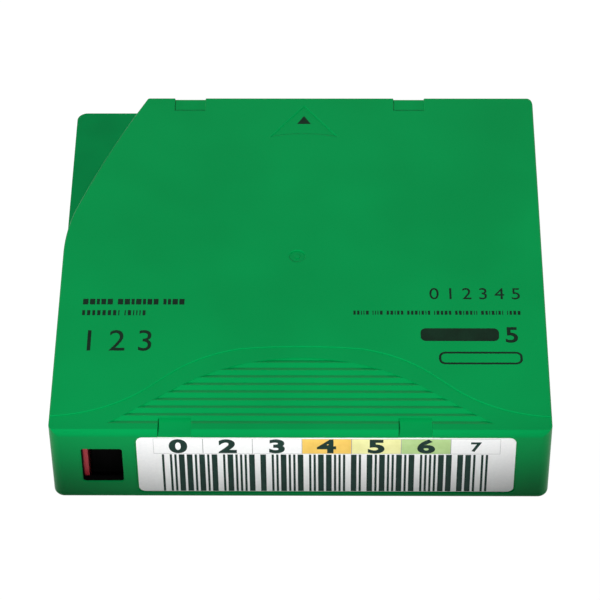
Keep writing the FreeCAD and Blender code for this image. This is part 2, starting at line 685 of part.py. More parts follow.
def upper_case():
    """Deep moulded shell: roof, side walls, stepped corner, finger grip and openings."""
    plan = prism("upper_plan", "XY_Plane",
                 rectangle(f"-{HALF_X}", f"-{HALF_Y}", HALF_X, HALF_Y, "corner_radius"),
                 "case_height - floor_plate", lift="floor_plate")
    side = prism("upper_side", "YZ_Plane", [
        (f"-{HALF_Y}", "floor_plate - 1"),
        (HALF_Y, "floor_plate - 1"),
        (HALF_Y, "case_height", "edge_round"),
        (f"-{HALF_Y}", "case_height", "near_round"),
    ], "case_width + 2", both=True)
    front = prism("upper_front", "XZ_Plane", [
        (f"-{HALF_X}", "floor_plate - 1"),
        (HALF_X, "floor_plate - 1"),
        (HALF_X, "case_height", "edge_round"),
        (f"-{HALF_X}", "case_height", "edge_round"),
    ], "case_depth + 2", both=True)
    ledge = prism("ledge_cutter", "XY_Plane", ledge_outline("0"), "ledge_drop + 1", lift=LEDGE_TOP)
    stepped = cut("upper_stepped", common("upper_outer", plan, side, front), ledge)
    top, near, far = number("case_height"), -number(HALF_Y), number(HALF_Y)

    def slanted(box):
        inside = box.XMin > number("ledge_bend_x") - 1e-3 and box.YMax <= far
        level = box.ZMin > top - 1e-3
        return "edge_round * 0.8" if level and inside and box.XMax < number("ledge_far_x") + 1e-3 else None

    soft = softened("upper_rounded", stepped, slanted)

    inner = rectangle(f"-{IN_X}", f"-{IN_Y}", IN_X, IN_Y, "corner_radius / 3")
    low_room = prism("low_room", "XY_Plane", inner,
                     f"{LEDGE_TOP} - roof - floor_plate + 1", lift="floor_plate - 1")
    high_room = prism("high_room", "XY_Plane", inner,
                      f"{CEILING} - floor_plate + 1", lift="floor_plate - 1")
    under_ledge = prism("ledge_keep", "XY_Plane", ledge_outline("ledge_wall"),
                        "ledge_drop + roof + 2", lift=f"{LEDGE_TOP} - roof")
    shell = cut("upper_shell", soft, fuse(
        "upper_room", low_room, cut("roof_room", high_room, under_ledge)))

    inside = notch_backs()
    for name, x, y, top_z in SCREWS:
        inside.append(rod(f"boss_{name}", (x, y, "boss_split"), "boss_radius",
                          f"{top_z} + roof / 2 - boss_split"))
    inside.append(cross("brake_key", "key_length", "key_thickness", "key_bottom",
                        f"{CEILING} + roof / 2"))
    inside += door_rails("high", f"{CEILING} - rail_height", f"{CEILING} + roof / 2", "wall / 2")
    inside.append(pin_pocket("high", f"{PIN_TOP} - pin_flange_height + pin_gap * 2",
                             f"{CEILING} + roof / 2",
                             f"{PIN_TOP} - pin_flange_height", f"{PIN_TOP} + pin_gap"))
    inside += slider_guides("high", f"{CEILING} - rail_height * 2", f"{CEILING} + roof / 2", "wall / 2")
    for side in CHAMBER_STARTS:
        inside.append(chamber_rib("upper", side, "chamber_high", f"{CEILING} + roof / 2"))

    grip = prism("grip_cutter", "XY_Plane", grip_outline(), "bell_step + 1", lift=GRIP)
    arrow = prism("arrow_cutter", "XY_Plane", [
        ("-arrow_half", "arrow_base_y"),
        Bow("arrow_radius", 1),
        ("arrow_half", "arrow_base_y"),
        ("0", "arrow_tip_y"),
    ], "arrow_depth + 1", lift="case_height - arrow_depth")
    gate_z = "case_height - gate_depth"
    gate = cut("gate_cutter", rod("gate_bowl", ("reel_x", "0", gate_z), "gate_radius", "gate_depth + 1"),
               rod("gate_nub", ("reel_x", "0", gate_z), "gate_nub", "gate_depth * 0.7"))
    label = prism("label_cutter", "XZ_Plane", rectangle(
        "label_left - label_margin", "label_bottom - label_margin",
        "label_left + label_width + label_margin",
        "label_bottom + label_height + label_margin", "label_radius + label_margin"),
        "label_recess + 1", lift=f"{HALF_Y} - label_recess")
    window = prism("window_cutter", "XZ_Plane", rectangle(
        "window_left", "window_bottom", WINDOW_RIGHT, "window_bottom + window_height", "edge_round"),
        "wall + 2", lift=f"{IN_Y} - 1")
    doorway = block("doorway_cutter",
                    (f"{IN_X} - 0.1", f"{DOOR_NEAR} + door_overlap", "floor_plate - 1"),
                    ("wall + 1", "door_length - door_overlap * 2", "door_window_top - floor_plate + 1"))
    pilots = [rod(f"pilot_{name}", (x, y, "boss_split - 1"), "screw_radius + screw_bite",
                  "screw_sink + screw_length - boss_split + 1.5")
              for name, x, y, _ in SCREWS]
    sharp = cut("upper_cut", fuse("upper_walls", shell, *inside), grip, rib_cutter(), arrow, gate,
                label, window, doorway, *notch_cutters(), *pilots)

    def recess(box):
        if box.ZMin > top - 1e-3:
            outer = (box.XMax < number("ledge_far_x") + 1 or box.XMin > number(HALF_X) - 1
                     or box.YMin > far - 1)
            return None if outer else "edge_soften"
        if box.YMax > near + 1e-3 or box.ZMin < number("floor_plate") + 1e-3:
            return None
        if box.XMax < number(f"{WINDOW_RIGHT} + edge_round"):
            return "edge_soften" if box.XMin > number("window_left") - 1e-3 else None
        past = number("label_left + label_width + label_margin") + 1e-3
        return "label_soften" if box.XMax < past else None

    return softened("upper_case", sharp, recess)


def lower_case():
    """Base plate with the drive hole, tongue, bosses and the seats of the inner pieces."""
    base = body("base_plate")
    pad(base, "base_pad", sketch(base, "base_outline", "XY_Plane", rectangle(
        f"-{HALF_X}", f"-{HALF_Y}", HALF_X, HALF_Y, "corner_radius")), "floor_plate")
    doc.recompute()
    rounding = base.newObject("PartDesign::Fillet", "base_rounding")
    edges = base.Tip.Shape.Edges if base.Tip != rounding else doc.base_pad.Shape.Edges
    rounding.Base = (doc.base_pad, [f"Edge{i}" for i, edge in enumerate(edges, start=1)
                                    if edge.BoundBox.ZMax < 1e-6])
    bind(rounding, Radius="base_round")
    doc.recompute()
    bevel = base.newObject("PartDesign::Chamfer", "seam_line")
    top = number("floor_plate")
    bevel.Base = (rounding, [f"Edge{i}" for i, edge in enumerate(rounding.Shape.Edges, start=1)
                             if edge.BoundBox.ZMin > top - 1e-6])
    bind(bevel, Size="seam_bevel")

    lip_x, lip_y = f"({IN_X} - lip_gap)", f"({IN_Y} - lip_gap)"
    lip = cut(
        "lip",
        prism("lip_outer", "XY_Plane", rectangle(f"-{lip_x}", f"-{lip_y}", lip_x, lip_y,
                                                 "corner_radius / 3"),
              "lip_height + 0.5", lift="floor_plate - 0.5"),
        block("lip_inner", (f"-{lip_x} + lip_thickness", f"-{lip_y} + lip_thickness", "floor_plate - 1"),
              (f"{lip_x} * 2 - lip_thickness * 2", f"{lip_y} * 2 - lip_thickness * 2",
               "lip_height + 2")),
        block("lip_at_door", (RAIL_X, "coil_post_y", "floor_plate - 1"),
              ("wall * 4", f"door_far_y + slide_gap - coil_post_y", "lip_height + 2")),
        block("lip_at_slider", (f"-{HALF_X}", f"-{HALF_Y}", "floor_plate - 1"),
              (f"{HALF_X} + {WINDOW_RIGHT} + rail", f"{HALF_Y} + {SLIDER_FAR} + slide_gap",
               "lip_height + 2")),
    )

    sunk = "floor_plate - 0.5"
    raised = [lip]
    raised.append(rod("seat_ring", ("reel_x", "0", sunk), "drive_hole_radius + reel_seat_width",
                      "reel_seat_height + 0.5"))
    for name, x, y, _ in SCREWS:
        raised.append(rod(f"stub_{name}", (x, y, "0.2"), "boss_radius + 0.6", "boss_split - 0.2"))
    locator_tall = "locator_depth + locator_wall - 0.2"
    raised.append(rod("locator_round_wall", ("-locator_x", "locator_y", "0.2"),
                      "locator_radius + locator_wall", locator_tall))
    for tag, way in (("a", -1), ("b", 1)):
        raised.append(rod(f"locator_slot_wall_{tag}",
                          (f"locator_x + ({way}) * locator_slot / 2", "locator_y", "0.2"),
                          "locator_radius + locator_wall", locator_tall))
    raised += door_rails("low", sunk, "floor_plate + rail_height", "-lip_gap")
    raised.append(block("door_stop", (RAIL_X, "door_far_y + slide_gap", sunk),
                        (f"{DOOR_OUT} - door_thickness / 2 - {RAIL_X}",
                         f"{IN_Y} - door_far_y - slide_gap - lip_gap", "rail_height * 2")))
    raised.append(block("coil_post", (f"{COIL_X} - coil_radius - coil_wire", "coil_post_y - wall", sunk),
                        (f"{IN_X} - lip_gap - {COIL_X} + coil_radius + coil_wire", "wall",
                         "coil_height + coil_radius + coil_wire - floor_plate + 1")))
    raised.append(pin_pocket("low", sunk, "pin_bottom + pin_flange_height - pin_gap * 2",
                             "pin_bottom - rest_gap", "pin_bottom + pin_flange_height + 1"))
    raised += slider_guides("low", sunk, "floor_plate + rail_height * 2", "-lip_gap")
    for tag, x in (("left", "board_left + rail"), ("right", "board_left + board_width - rail * 2")):
        raised.append(prism(f"board_rib_{tag}", "YZ_Plane", [
            (f"-{lip_y}", sunk),
            ("board_foot_y", sunk),
            ("board_foot_y", "floor_plate"),
            (f"-{lip_y}", f"floor_plate + board_foot_y + {lip_y}"),
        ], "rail", lift=x))
    raised.append(block("leaf_holder", ("leaf_left + 1", f"{IN_Y} - leaf * 2 - rail - pin_gap", sunk),
                        ("rail * 4", "rail", "rail_height * 3")))
    for side in CHAMBER_STARTS:
        raised.append(chamber_rib("lower", side, sunk, "chamber_low"))

    holes = [rod("drive_hole", ("reel_x", "0", "-1"), "drive_hole_radius", "boss_split + 2")]
    for name, x, y, _ in SCREWS:
        holes.append(rod(f"screw_well_{name}", (x, y, "-1"), "screw_head + screw_hole_gap",
                         "screw_sink + 1"))
        holes.append(rod(f"screw_way_{name}", (x, y, "-1"), "screw_radius + screw_hole_gap",
                         "boss_split + 2"))
    holes.append(rod("locator_round", ("-locator_x", "locator_y", "-1"), "locator_radius",
                     "locator_depth + 1"))
    slot = [rod(f"locator_slot_{tag}", (f"locator_x + ({way}) * locator_slot / 2", "locator_y", "-1"),
                "locator_radius", "locator_depth + 1") for tag, way in (("a", -1), ("b", 1))]
    slot.append(block("locator_slot_middle",
                      ("locator_x - locator_slot / 2", "locator_y - locator_radius", "-1"),
                      ("locator_slot", "locator_radius * 2", "locator_depth + 1")))
    return cut("lower_case", fuse("lower_walls", base, *raised), *holes, *slot)


def barcode_label():
    """Paper label in the near face's recess."""
    return prism("barcode_label", "XZ_Plane", rectangle(
        "label_left", "label_bottom", "label_left + label_width", "label_bottom + label_height",
        "label_radius"), "label_thickness", lift=f"{HALF_Y} - label_recess")


def case_screws():
    """Four self-tapping pan head screws from below, one group."""
    screws = []
    for name, x, y, _ in SCREWS:
        screw = body(f"screw_{name}", x, y)
        seat, tip = "screw_sink", "screw_sink + screw_length"
        revolve(screw, f"screw_turned_{name}", sketch(screw, f"screw_profile_{name}", "XZ_Plane", [
            ("0", "screw_sink - screw_head_height"),
            ("screw_head * 0.8", "screw_sink - screw_head_height"),
            ("screw_head", "screw_sink - screw_head_height * 0.6"),
            ("screw_head", seat),
            ("screw_radius", seat),
            ("screw_radius", f"{tip} - screw_radius"),
            ("0", tip),
        ]))
        slots = sketch(screw, f"screw_slots_{name}", "XY_Plane", plus_outline(
            "screw_head * 1.1", "screw_radius * 0.5"), lift="screw_sink - screw_head_height")
        pocket(screw, f"screw_recess_{name}", slots, "screw_head_height * 0.6", back=True)
        screws.append(screw)
    return fuse("case_screws", *screws)


def plus_outline(length, thickness):
    """A plus sign round a body's own axis."""
    far, near = f"({length}) / 2", f"({thickness}) / 2"
    quarter = [(far, f"-{near}"), (far, near), (near, near)]
    turns = [lambda x, y: (x, y), lambda x, y: (f"-({y})", x),
             lambda x, y: (f"-({x})", f"-({y})"), lambda x, y: (y, f"-({x})")]
    return [spin(x, y) for spin in turns for x, y in quarter]


# ---- the reel ----

def tooth(owner, name, root, tip, width, inner, outer, count):
    """A ring of radial teeth, from one V-shaped tooth repeated round the axis."""
    sunk = f"{root} - ({tip} - ({root})) * 0.1"
    profile = sketch(owner, name + "_profile", "YZ_Plane", [
        (f"-{width} / 2", sunk),
        (f"{width} / 2", sunk),
        (f"{width} / 2", root),
        ("0", tip),
        (f"-{width} / 2", root),
    ], lift=inner)
    feature = pad(owner, name + "_one", profile, f"{outer} - {inner}")
    return around(owner, name + "_ring", feature, count)


def reel_hub():
    """Hub with its lower flange, drive teeth under it and brake sectors inside."""
    hub = turn(body("reel_hub", "reel_x"), (0, 0, 1), HALF_TOOTH)
    ring_root = f"({HUB_UNDER} - drive_ring_root)"
    revolve(hub, "hub_turned", sketch(hub, "hub_profile", "XZ_Plane", [
        ("plate_inner", HUB_UNDER),
        ("drive_ring_inner", HUB_UNDER),
        ("drive_ring_inner", ring_root),
        ("drive_ring_outer", ring_root),
        ("drive_ring_outer", HUB_UNDER),
        ("hub_radius", HUB_UNDER),
        ("hub_radius", FLANGE_LOW),
        ("flange_radius", FLANGE_LOW),
        ("flange_radius", f"{FLANGE_TOP} - flange_taper"),
        ("hub_radius", FLANGE_TOP),
        ("hub_radius", HUB_TOP),
        ("hub_radius - hub_wall", HUB_TOP),
        ("hub_radius - hub_wall", WEB_TOP),
        ("plate_inner", WEB_TOP),
    ]))
    ring = sketch(hub, "sector_circles", "XY_Plane", circles=[
        ("0", "0", "brake_ring_inner"), ("0", "0", "brake_ring_outer")], lift=f"{WEB_TOP} - 0.2")
    pad(hub, "sector_ring", ring, "brake_sector_height + 0.2")
    tooth(hub, "sector_tooth", SECTOR_ROOT, f"{SECTOR_ROOT} + brake_tooth_height",
          "brake_tooth_width", "brake_ring_inner", "brake_ring_outer", BRAKE_TEETH)
    gap = "(spider_arm + arm_gap) / 2"
    slot = sketch(hub, "arm_slot_outline", "XY_Plane", [
        ("plate_inner", f"-{gap}"), ("brake_ring_outer + 1", f"-{gap}"),
        ("brake_ring_outer + 1", gap), ("plate_inner", gap)], lift=WEB_TOP)
    around(hub, "arm_slots", pocket(hub, "arm_slot", slot,
                                    "brake_sector_height + brake_tooth_height + 1", back=True), LEGS)
    tooth(hub, "drive_tooth", ring_root, f"{ring_root} - drive_tooth_height",
          "drive_tooth_width", "drive_ring_inner", "drive_ring_outer", DRIVE_TEETH)
    hole = sketch(hub, "leg_hole_circle", "XY_Plane", circles=[
        ("leg_circle", "0", "leg_radius + leg_gap")], lift=f"{WEB_TOP} + 0.1")
    around(hub, "leg_holes", pocket(hub, "leg_hole", hole,
                                    "hub_web + drive_ring_root + drive_tooth_height + 1"), LEGS)
    return hub


def reel_upper_flange():
    """Upper flange on the hub's rim."""
    flange = body("reel_upper_flange", "reel_x")
    top = f"{HUB_TOP} + flange_thickness"
    revolve(flange, "flange_turned", sketch(flange, "flange_profile", "XZ_Plane", [
        ("hub_radius - hub_wall", HUB_TOP),
        ("hub_radius", HUB_TOP),
        ("flange_radius", f"{HUB_TOP} + flange_taper"),
        ("flange_radius", top),
        ("hub_radius - hub_wall", top),
    ]))
    return flange


def drive_plate():
    """Steel ring that the drive's magnet holds."""
    plate = body("drive_plate", "reel_x")
    low = f"{HUB_UNDER} - plate_thickness"
    edge = "drive_ring_inner - plate_gap"
    revolve(plate, "plate_turned", sketch(plate, "plate_profile", "XZ_Plane", [
        ("plate_inner", low),
        (f"{edge} - plate_thickness / 4", low),
        (edge, f"{low} + plate_thickness / 4"),
        (edge, HUB_UNDER),
        ("plate_inner", HUB_UNDER),
    ]))
    return plate


def tape_pack():
    """The wound tape."""
    pack = body("tape_pack", "reel_x")
    revolve(pack, "pack_turned", sketch(pack, "pack_profile", "XZ_Plane", rectangle(
        "hub_radius", TAPE_LOW, "pack_radius", TAPE_HIGH)))
    return pack


def release_spider():
    """Plate with three legs that reach down through the hub floor."""
    spider = turn(body("release_spider", "reel_x"), (0, 0, 1), HALF_TOOTH)
    disc = sketch(spider, "spider_disc", "XY_Plane",
                  circles=[("0", "0", "plate_inner + 1.4")], lift=SPIDER_LOW)
    pad(spider, "spider_middle", disc, "spider_thickness")
    arm = sketch(spider, "arm_outline", "XY_Plane", [
        ("0", "-spider_arm / 2"), ("leg_circle", "-spider_arm / 2"),
        ("leg_circle", "spider_arm / 2"), ("0", "spider_arm / 2")], lift=SPIDER_LOW)
    around(spider, "arms", pad(spider, "arm", arm, "spider_thickness"), LEGS)
    end = sketch(spider, "arm_end_circle", "XY_Plane",
                 circles=[("leg_circle", "0", "spider_arm / 2")], lift=SPIDER_LOW)
    around(spider, "arm_ends", pad(spider, "arm_end", end, "spider_thickness"), LEGS)
    leg = sketch(spider, "leg_circle_outline", "XY_Plane",
                 circles=[("leg_circle", "0", "leg_radius")], lift="leg_reach")
    around(spider, "legs", pad(spider, "leg", leg, f"{SPIDER_TOP} - leg_reach"), LEGS)
    return spider


def brake_button():
    """Toothed disc on a post whose cross slot keeps it from turning."""
    brake = body("brake_button", "reel_x")
    revolve(brake, "brake_turned", sketch(brake, "brake_profile", "XZ_Plane", [
        ("0", f"{SPIDER_TOP} + rest_gap"),
        ("plate_inner / 2", f"{SPIDER_TOP} + rest_gap"),
        ("plate_inner / 2", BRAKE_UNDER),
        ("brake_disc_radius", BRAKE_UNDER),
        ("brake_disc_radius", BRAKE_TOP),
        ("brake_post_radius", BRAKE_TOP),
        ("brake_post_radius", "brake_post_top"),
        ("0", "brake_post_top"),
    ]))
    tooth(brake, "brake_tooth", BRAKE_UNDER, f"{BRAKE_UNDER} - brake_tooth_height",
          "brake_tooth_width", "brake_ring_inner", "brake_ring_outer", BRAKE_TEETH)
    slots = sketch(brake, "key_slots", "XY_Plane", plus_outline(
        "key_length + key_gap * 2", "key_thickness + key_gap * 2"), lift="brake_post_top")
    pocket(brake, "key_way", slots, "brake_post_top - key_slot_floor")
    return brake


def coil(name, radius, wire, length, turns):
    """A round wire in straight lengths between sections that climb round the axis."""
    lengths = round(number(turns) * COIL_SIDES)
    sections = []
    for step in range(lengths + 1):
        angle = 360 / COIL_SIDES * step
        out = FreeCAD.Rotation(FreeCAD.Vector(0, 0, 1), angle).multVec(FreeCAD.Vector(1, 0, 0))
        down = FreeCAD.Vector(0, 0, -1)
        section = doc.addObject("Part::Circle", f"{name}_section_{step}")
        section.Placement.Rotation = FreeCAD.Rotation(out, down, out.cross(down))
        bind(section, Radius=wire)
        sections.append(place(section, f"{radius} * {out.x:.6f}", f"{radius} * {out.y:.6f}",
                              f"({length}) * {step} / {lengths}"))
    wound = doc.addObject("Part::Loft", name)
    wound.Sections = sections
    wound.Ruled = True
    wound.Solid = True
    return wound


def brake_spring():
    """Coil between the brake disc and the roof."""
    low = f"({BRAKE_TOP} + spring_wire + rest_gap)"
    spring = coil("brake_spring", "spring_radius", "spring_wire",
                  f"{CEILING} - spring_wire - rest_gap - {low}", "spring_turns")
    return place(spring, "reel_x", "0", low)


# ---- the leader pin, the door and the small pieces ----

def leader_pin():
    """Turned pin with a flange at each end."""
    pin = body("leader_pin", "pin_x", "pin_y")
    revolve(pin, "pin_turned", sketch(pin, "pin_profile", "XZ_Plane", [
        ("0", "pin_bottom"),
        ("pin_flange", "pin_bottom"),
        ("pin_flange", "pin_bottom + pin_flange_height"),
        ("pin_core", "pin_bottom + pin_flange_height"),
        ("pin_core", f"{PIN_TOP} - pin_flange_height"),
        ("pin_flange", f"{PIN_TOP} - pin_flange_height"),
        ("pin_flange", PIN_TOP),
        ("0", PIN_TOP),
    ]))
    return pin


def pin_clip():
    """C-shaped clip over the tape's end."""
    foot = ("pin_x", "pin_y", TAPE_LOW)
    sleeve = turn(rod("clip_sleeve", foot, CLIP_OUT, "tape_width", CLIP_SWEEP), (0, 0, 1),
                  CLIP_START)
    return cut("pin_clip", sleeve, rod("clip_bore", foot, "pin_core + rest_gap", "tape_width"))


def leader_tape():
    """Flat run of tape from the clip to where it meets the pack."""
    reach = "hypot(pin_x - reel_x; pin_y)"
    touch = "(pack_radius + rest_gap + tape_thickness / 2)"
    way = f"(atan2(pin_y; pin_x - reel_x) + acos({touch} / {reach}) + 90 deg)"
    start = f"({CLIP_OUT} + rest_gap)"
    tape = doc.addObject("Part::Box", "leader_tape")
    bind(tape, Length=f"sqrt({reach}^2 - {touch}^2) - {start}", Width="tape_thickness",
         Height="tape_width")
    tape.Placement = FreeCAD.Placement(
        FreeCAD.Vector(), FreeCAD.Rotation(FreeCAD.Vector(0, 0, 1), number(way)))
    bind(tape, Placement__Rotation__Angle=way)
    return place(tape, f"pin_x + {start} * cos({way}) + tape_thickness / 2 * sin({way})",
                 f"pin_y + {start} * sin({way}) - tape_thickness / 2 * cos({way})", TAPE_LOW)


def pin_spring():
    """Bent steel leaf beside the pin's flanges."""
    arm_x = "(pin_x + leaf_arm + pin_gap)"
    back_y = f"({IN_Y} - leaf * 2)"
    return prism("pin_spring", "XY_Plane", [
        ("leaf_left", back_y),
        (arm_x, back_y),
        (arm_x, "pin_y + leaf_bend"),
        (f"{arm_x} + leaf_hook", "pin_y + leaf_tip"),
        (f"{arm_x} + leaf_hook + leaf", "pin_y + leaf_tip + leaf / 2"),
        (f"{arm_x} + leaf", "pin_y + leaf_bend + leaf / 2"),
        (f"{arm_x} + leaf", f"{back_y} + leaf"),
        ("leaf_left", f"{back_y} + leaf"),
    ], f"{CEILING} - roof - pin_bottom - pin_flange_height / 2", lift="pin_bottom + pin_flange_height / 2")


def access_door():
    """Sliding panel with a lug and a spigot for its spring."""
    panel = block("door_panel", (DOOR_IN, DOOR_NEAR, "floor_plate + slide_gap"),
                  ("door_thickness", "door_length", f"{CEILING} - floor_plate - slide_gap * 2"))
    lug_x = f"({COIL_X} - coil_radius - coil_wire)"
    lug_z = "(coil_height - coil_radius - coil_wire)"
    lug = block("door_lug", (lug_x, DOOR_NEAR, lug_z),
                (f"{DOOR_OUT} - {lug_x}", "door_thickness", "(coil_radius + coil_wire) * 2"))
    spigot = turn(bind(doc.addObject("Part::Cylinder", "door_spigot"),
                       Radius="spigot_radius", Height="spigot_length + door_thickness / 2"),
                  (1, 0, 0), 90)
    place(spigot, COIL_X, f"{DOOR_NEAR} + door_thickness / 2", "coil_height")
    return fuse("access_door", panel, lug, spigot)


def door_spring():
    """Coil that pushes the door shut from its post."""
    far = f"({DOOR_NEAR} - coil_wire - rest_gap)"
    spring = coil("door_spring", "coil_radius", "coil_wire",
                  f"{far} - coil_post_y - coil_wire - rest_gap", "coil_turns")
    turn(spring, (1, 0, 0), 90)
    return place(spring, COIL_X, far, "coil_height")


def write_protect_slider():
    """Slide behind the window, hollow at its back, with a finger dish in front."""
    low = "floor_plate + slide_gap"
    tall = f"({CEILING} - floor_plate - slide_gap * 2)"
    bar = block("slider_bar", (SLIDER_LEFT, SLIDER_NEAR, low),
                ("slider_width", "slider_thickness", tall))
    hollow = block("slider_hollow",
                   (f"{SLIDER_LEFT} + rail", f"{SLIDER_NEAR} + rail * 2", f"{low} + rail"),
                   ("slider_width - rail * 2", "slider_thickness", f"{tall} - rail * 2"))
    dish = block("slider_dish", (f"{SLIDER_LEFT} + rail * 2", f"{SLIDER_NEAR} - 1",
                                 "window_bottom + rail"),
                 ("slider_width - rail * 3.5", "1 + rail / 2", "window_height - rail * 2"))
    return cut("write_protect_slider", bar, hollow, dish)


def tilted(name, along, across, size):
    """A box on the memory's 45 degree seat, from its upper near corner."""
    lean = "sqrt(0.5)"
    top_y = f"board_foot_y - (board_lift / {lean} + board_length) * {lean}"
    top_z = f"floor_plate + (board_lift / {lean} + board_length) * {lean}"
    sheet_box = turn(doc.addObject("Part::Box", name), (1, 0, 0), -45)
    bind(sheet_box, Length=size[0], Width=size[1], Height=size[2])
    return place(sheet_box, f"board_left + {along}",
                 f"{top_y} + ({across[0]}) * {lean} + ({across[1]}) * {lean}",
                 f"{top_z} - ({across[0]}) * {lean} + ({across[1]}) * {lean}")


def memory_board():
    """Carrier board of the contactless memory."""
    return tilted("memory_board", "0", ("0", "rest_gap"),
                  ("board_width", "board_length", "board_thickness"))


def memory_chip():
    """Potted chip on the board."""
    return tilted("memory_chip", "(board_width - chip_side) / 2",
                  ("(board_length - chip_side) / 2", "rest_gap + board_thickness"),
                  ("chip_side", "chip_side", "chip_height"))


PIECES = [
    upper_case, lower_case, barcode_label, case_screws, reel_hub, reel_upper_flange,
    drive_plate, tape_pack, release_spider, brake_button, brake_spring, leader_pin, pin_clip,
    leader_tape, pin_spring, access_door, door_spring, write_protect_slider, memory_board,
    memory_chip,
]
made = []
for build in PIECES:
    piece = build()
    piece.Label = build.__name__
    made.append(piece)
doc.recompute()

for thing in doc.Objects:
    if {"Invalid", "Error"} & set(thing.State):
        raise SystemExit(f"{thing.Name} failed: {thing.State}")
os.makedirs("parts", exist_ok=True)
for piece in made:
    if piece.Shape.isNull() or not piece.Shape.isValid():
        raise SystemExit(f"{piece.Label} has no valid shape")
for piece in made:
    piece.Shape.exportStep(f"parts/{piece.Label}.step")
    print(f"{piece.Label}: {len(piece.Shape.Solids)} solids, {piece.Shape.Volume:.1f} mm3")
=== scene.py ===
import json
import math
import random
import bpy
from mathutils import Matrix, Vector

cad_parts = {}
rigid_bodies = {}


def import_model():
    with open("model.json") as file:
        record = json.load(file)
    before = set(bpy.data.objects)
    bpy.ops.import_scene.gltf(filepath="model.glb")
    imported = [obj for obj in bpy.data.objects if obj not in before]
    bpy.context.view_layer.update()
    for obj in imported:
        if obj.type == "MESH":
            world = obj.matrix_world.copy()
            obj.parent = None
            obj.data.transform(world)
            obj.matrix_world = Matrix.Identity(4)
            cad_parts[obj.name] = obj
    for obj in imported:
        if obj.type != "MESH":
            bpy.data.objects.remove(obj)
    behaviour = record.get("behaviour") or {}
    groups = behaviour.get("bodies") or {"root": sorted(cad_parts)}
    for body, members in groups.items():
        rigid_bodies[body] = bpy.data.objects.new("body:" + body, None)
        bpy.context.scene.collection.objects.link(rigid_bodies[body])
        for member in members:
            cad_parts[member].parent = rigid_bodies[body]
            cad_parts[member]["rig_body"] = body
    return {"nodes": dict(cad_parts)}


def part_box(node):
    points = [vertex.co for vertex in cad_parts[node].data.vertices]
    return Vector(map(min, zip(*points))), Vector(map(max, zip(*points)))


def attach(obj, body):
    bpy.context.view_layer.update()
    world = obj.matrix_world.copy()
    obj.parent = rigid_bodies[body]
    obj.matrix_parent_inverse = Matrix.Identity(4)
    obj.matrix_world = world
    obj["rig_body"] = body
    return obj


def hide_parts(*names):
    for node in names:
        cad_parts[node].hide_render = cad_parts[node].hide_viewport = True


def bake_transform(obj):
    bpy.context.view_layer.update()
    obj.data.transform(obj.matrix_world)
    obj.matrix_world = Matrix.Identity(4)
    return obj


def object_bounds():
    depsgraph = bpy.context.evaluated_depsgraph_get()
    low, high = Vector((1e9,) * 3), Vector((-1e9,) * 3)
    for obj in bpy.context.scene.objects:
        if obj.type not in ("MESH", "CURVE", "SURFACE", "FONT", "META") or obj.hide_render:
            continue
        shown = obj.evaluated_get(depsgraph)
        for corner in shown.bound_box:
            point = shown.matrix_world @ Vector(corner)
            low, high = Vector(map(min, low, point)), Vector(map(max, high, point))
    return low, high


# Data tape cartridge: its label faces -Y and its top +Z. Blender works in metres, and the
# sizes of the pieces that are added here are in millimetres, which mm turns into metres.

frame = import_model()
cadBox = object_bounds()
topZ = cadBox[1].z
mm = 0.001


def clearSelection():
    if bpy.context.mode != "OBJECT":
        bpy.ops.object.mode_set(mode="OBJECT")
    bpy.ops.object.select_all(action="DESELECT")


def makeActive(piece):
    clearSelection()
    piece.select_set(True)
    bpy.context.view_layer.objects.active = piece


def bakePlace(piece):
    makeActive(piece)
    bpy.ops.object.transform_apply(location=True, rotation=True, scale=True)


def enterEdit():
    bpy.ops.object.mode_set(mode="EDIT")


def leaveEdit():
    bpy.ops.object.mode_set(mode="OBJECT")


def pickNothing(piece, kind):
    makeActive(piece)
    enterEdit()
    bpy.ops.mesh.select_mode(type=kind)
    bpy.ops.mesh.select_all(action="DESELECT")
    leaveEdit()


def pickFaces(piece, test):
    # starts in object mode and ends in edit mode, with only the faces that pass selected
    pickNothing(piece, "FACE")
    for face in piece.data.polygons:
        face.select = test(face)
    enterEdit()


def pickEdges(piece, test):
    # the same for edges, whose two ends are given to the test
    pickNothing(piece, "EDGE")
    for edge in piece.data.edges:
        edge.select = test(*(piece.data.vertices[end].co for end in edge.vertices))
    enterEdit()


def pickWhole(piece):
    makeActive(piece)
    enterEdit()
    bpy.ops.mesh.select_all(action="SELECT")


def dropFaces(piece, test):
    pickFaces(piece, test)
    bpy.ops.mesh.delete(type="FACE")
    leaveEdit()


def giveWall(piece, thickness, outward):
    # an open sheet gets its thickness to the outside (1) or to the inside (-1)
    wall = piece.modifiers.new("wall", "SOLIDIFY")
    wall.thickness = thickness
    wall.offset = outward
    makeActive(piece)
    bpy.ops.object.modifier_apply(modifier=wall.name)


def copyNode(nodeName):
    node = frame["nodes"][nodeName]
    clearSelection()
    twin = node.copy()
    twin.data = node.data.copy()
    twin.parent = None
    bpy.context.scene.collection.objects.link(twin)
    return twin


def addPiece(piece, name, material, stands=()):
    # names a finished piece of the case, paints it and lets it ride on the case
    piece.name = name
    piece.data.name = name
    piece.data.materials.clear()
    piece.data.materials.append(material)
    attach(piece, "case")
    if stands:
        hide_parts(*stands)


def startMaterial(name):
    material = bpy.data.materials.new(name)
    material.use_nodes = True
    tree = material.node_tree
    shader = tree.nodes["Principled BSDF"]
    where = tree.nodes.new("ShaderNodeTexCoord")
    return material, tree, shader, where.outputs["Object"]


def noiseOn(tree, where, size, detail, rough=0.55):
    noise = tree.nodes.new("ShaderNodeTexNoise")
    noise.inputs["Scale"].default_value = 1 / size
    noise.inputs["Detail"].default_value = detail
    noise.inputs["Roughness"].default_value = rough
    tree.links.new(where, noise.inputs["Vector"])
    return noise.outputs["Fac"]


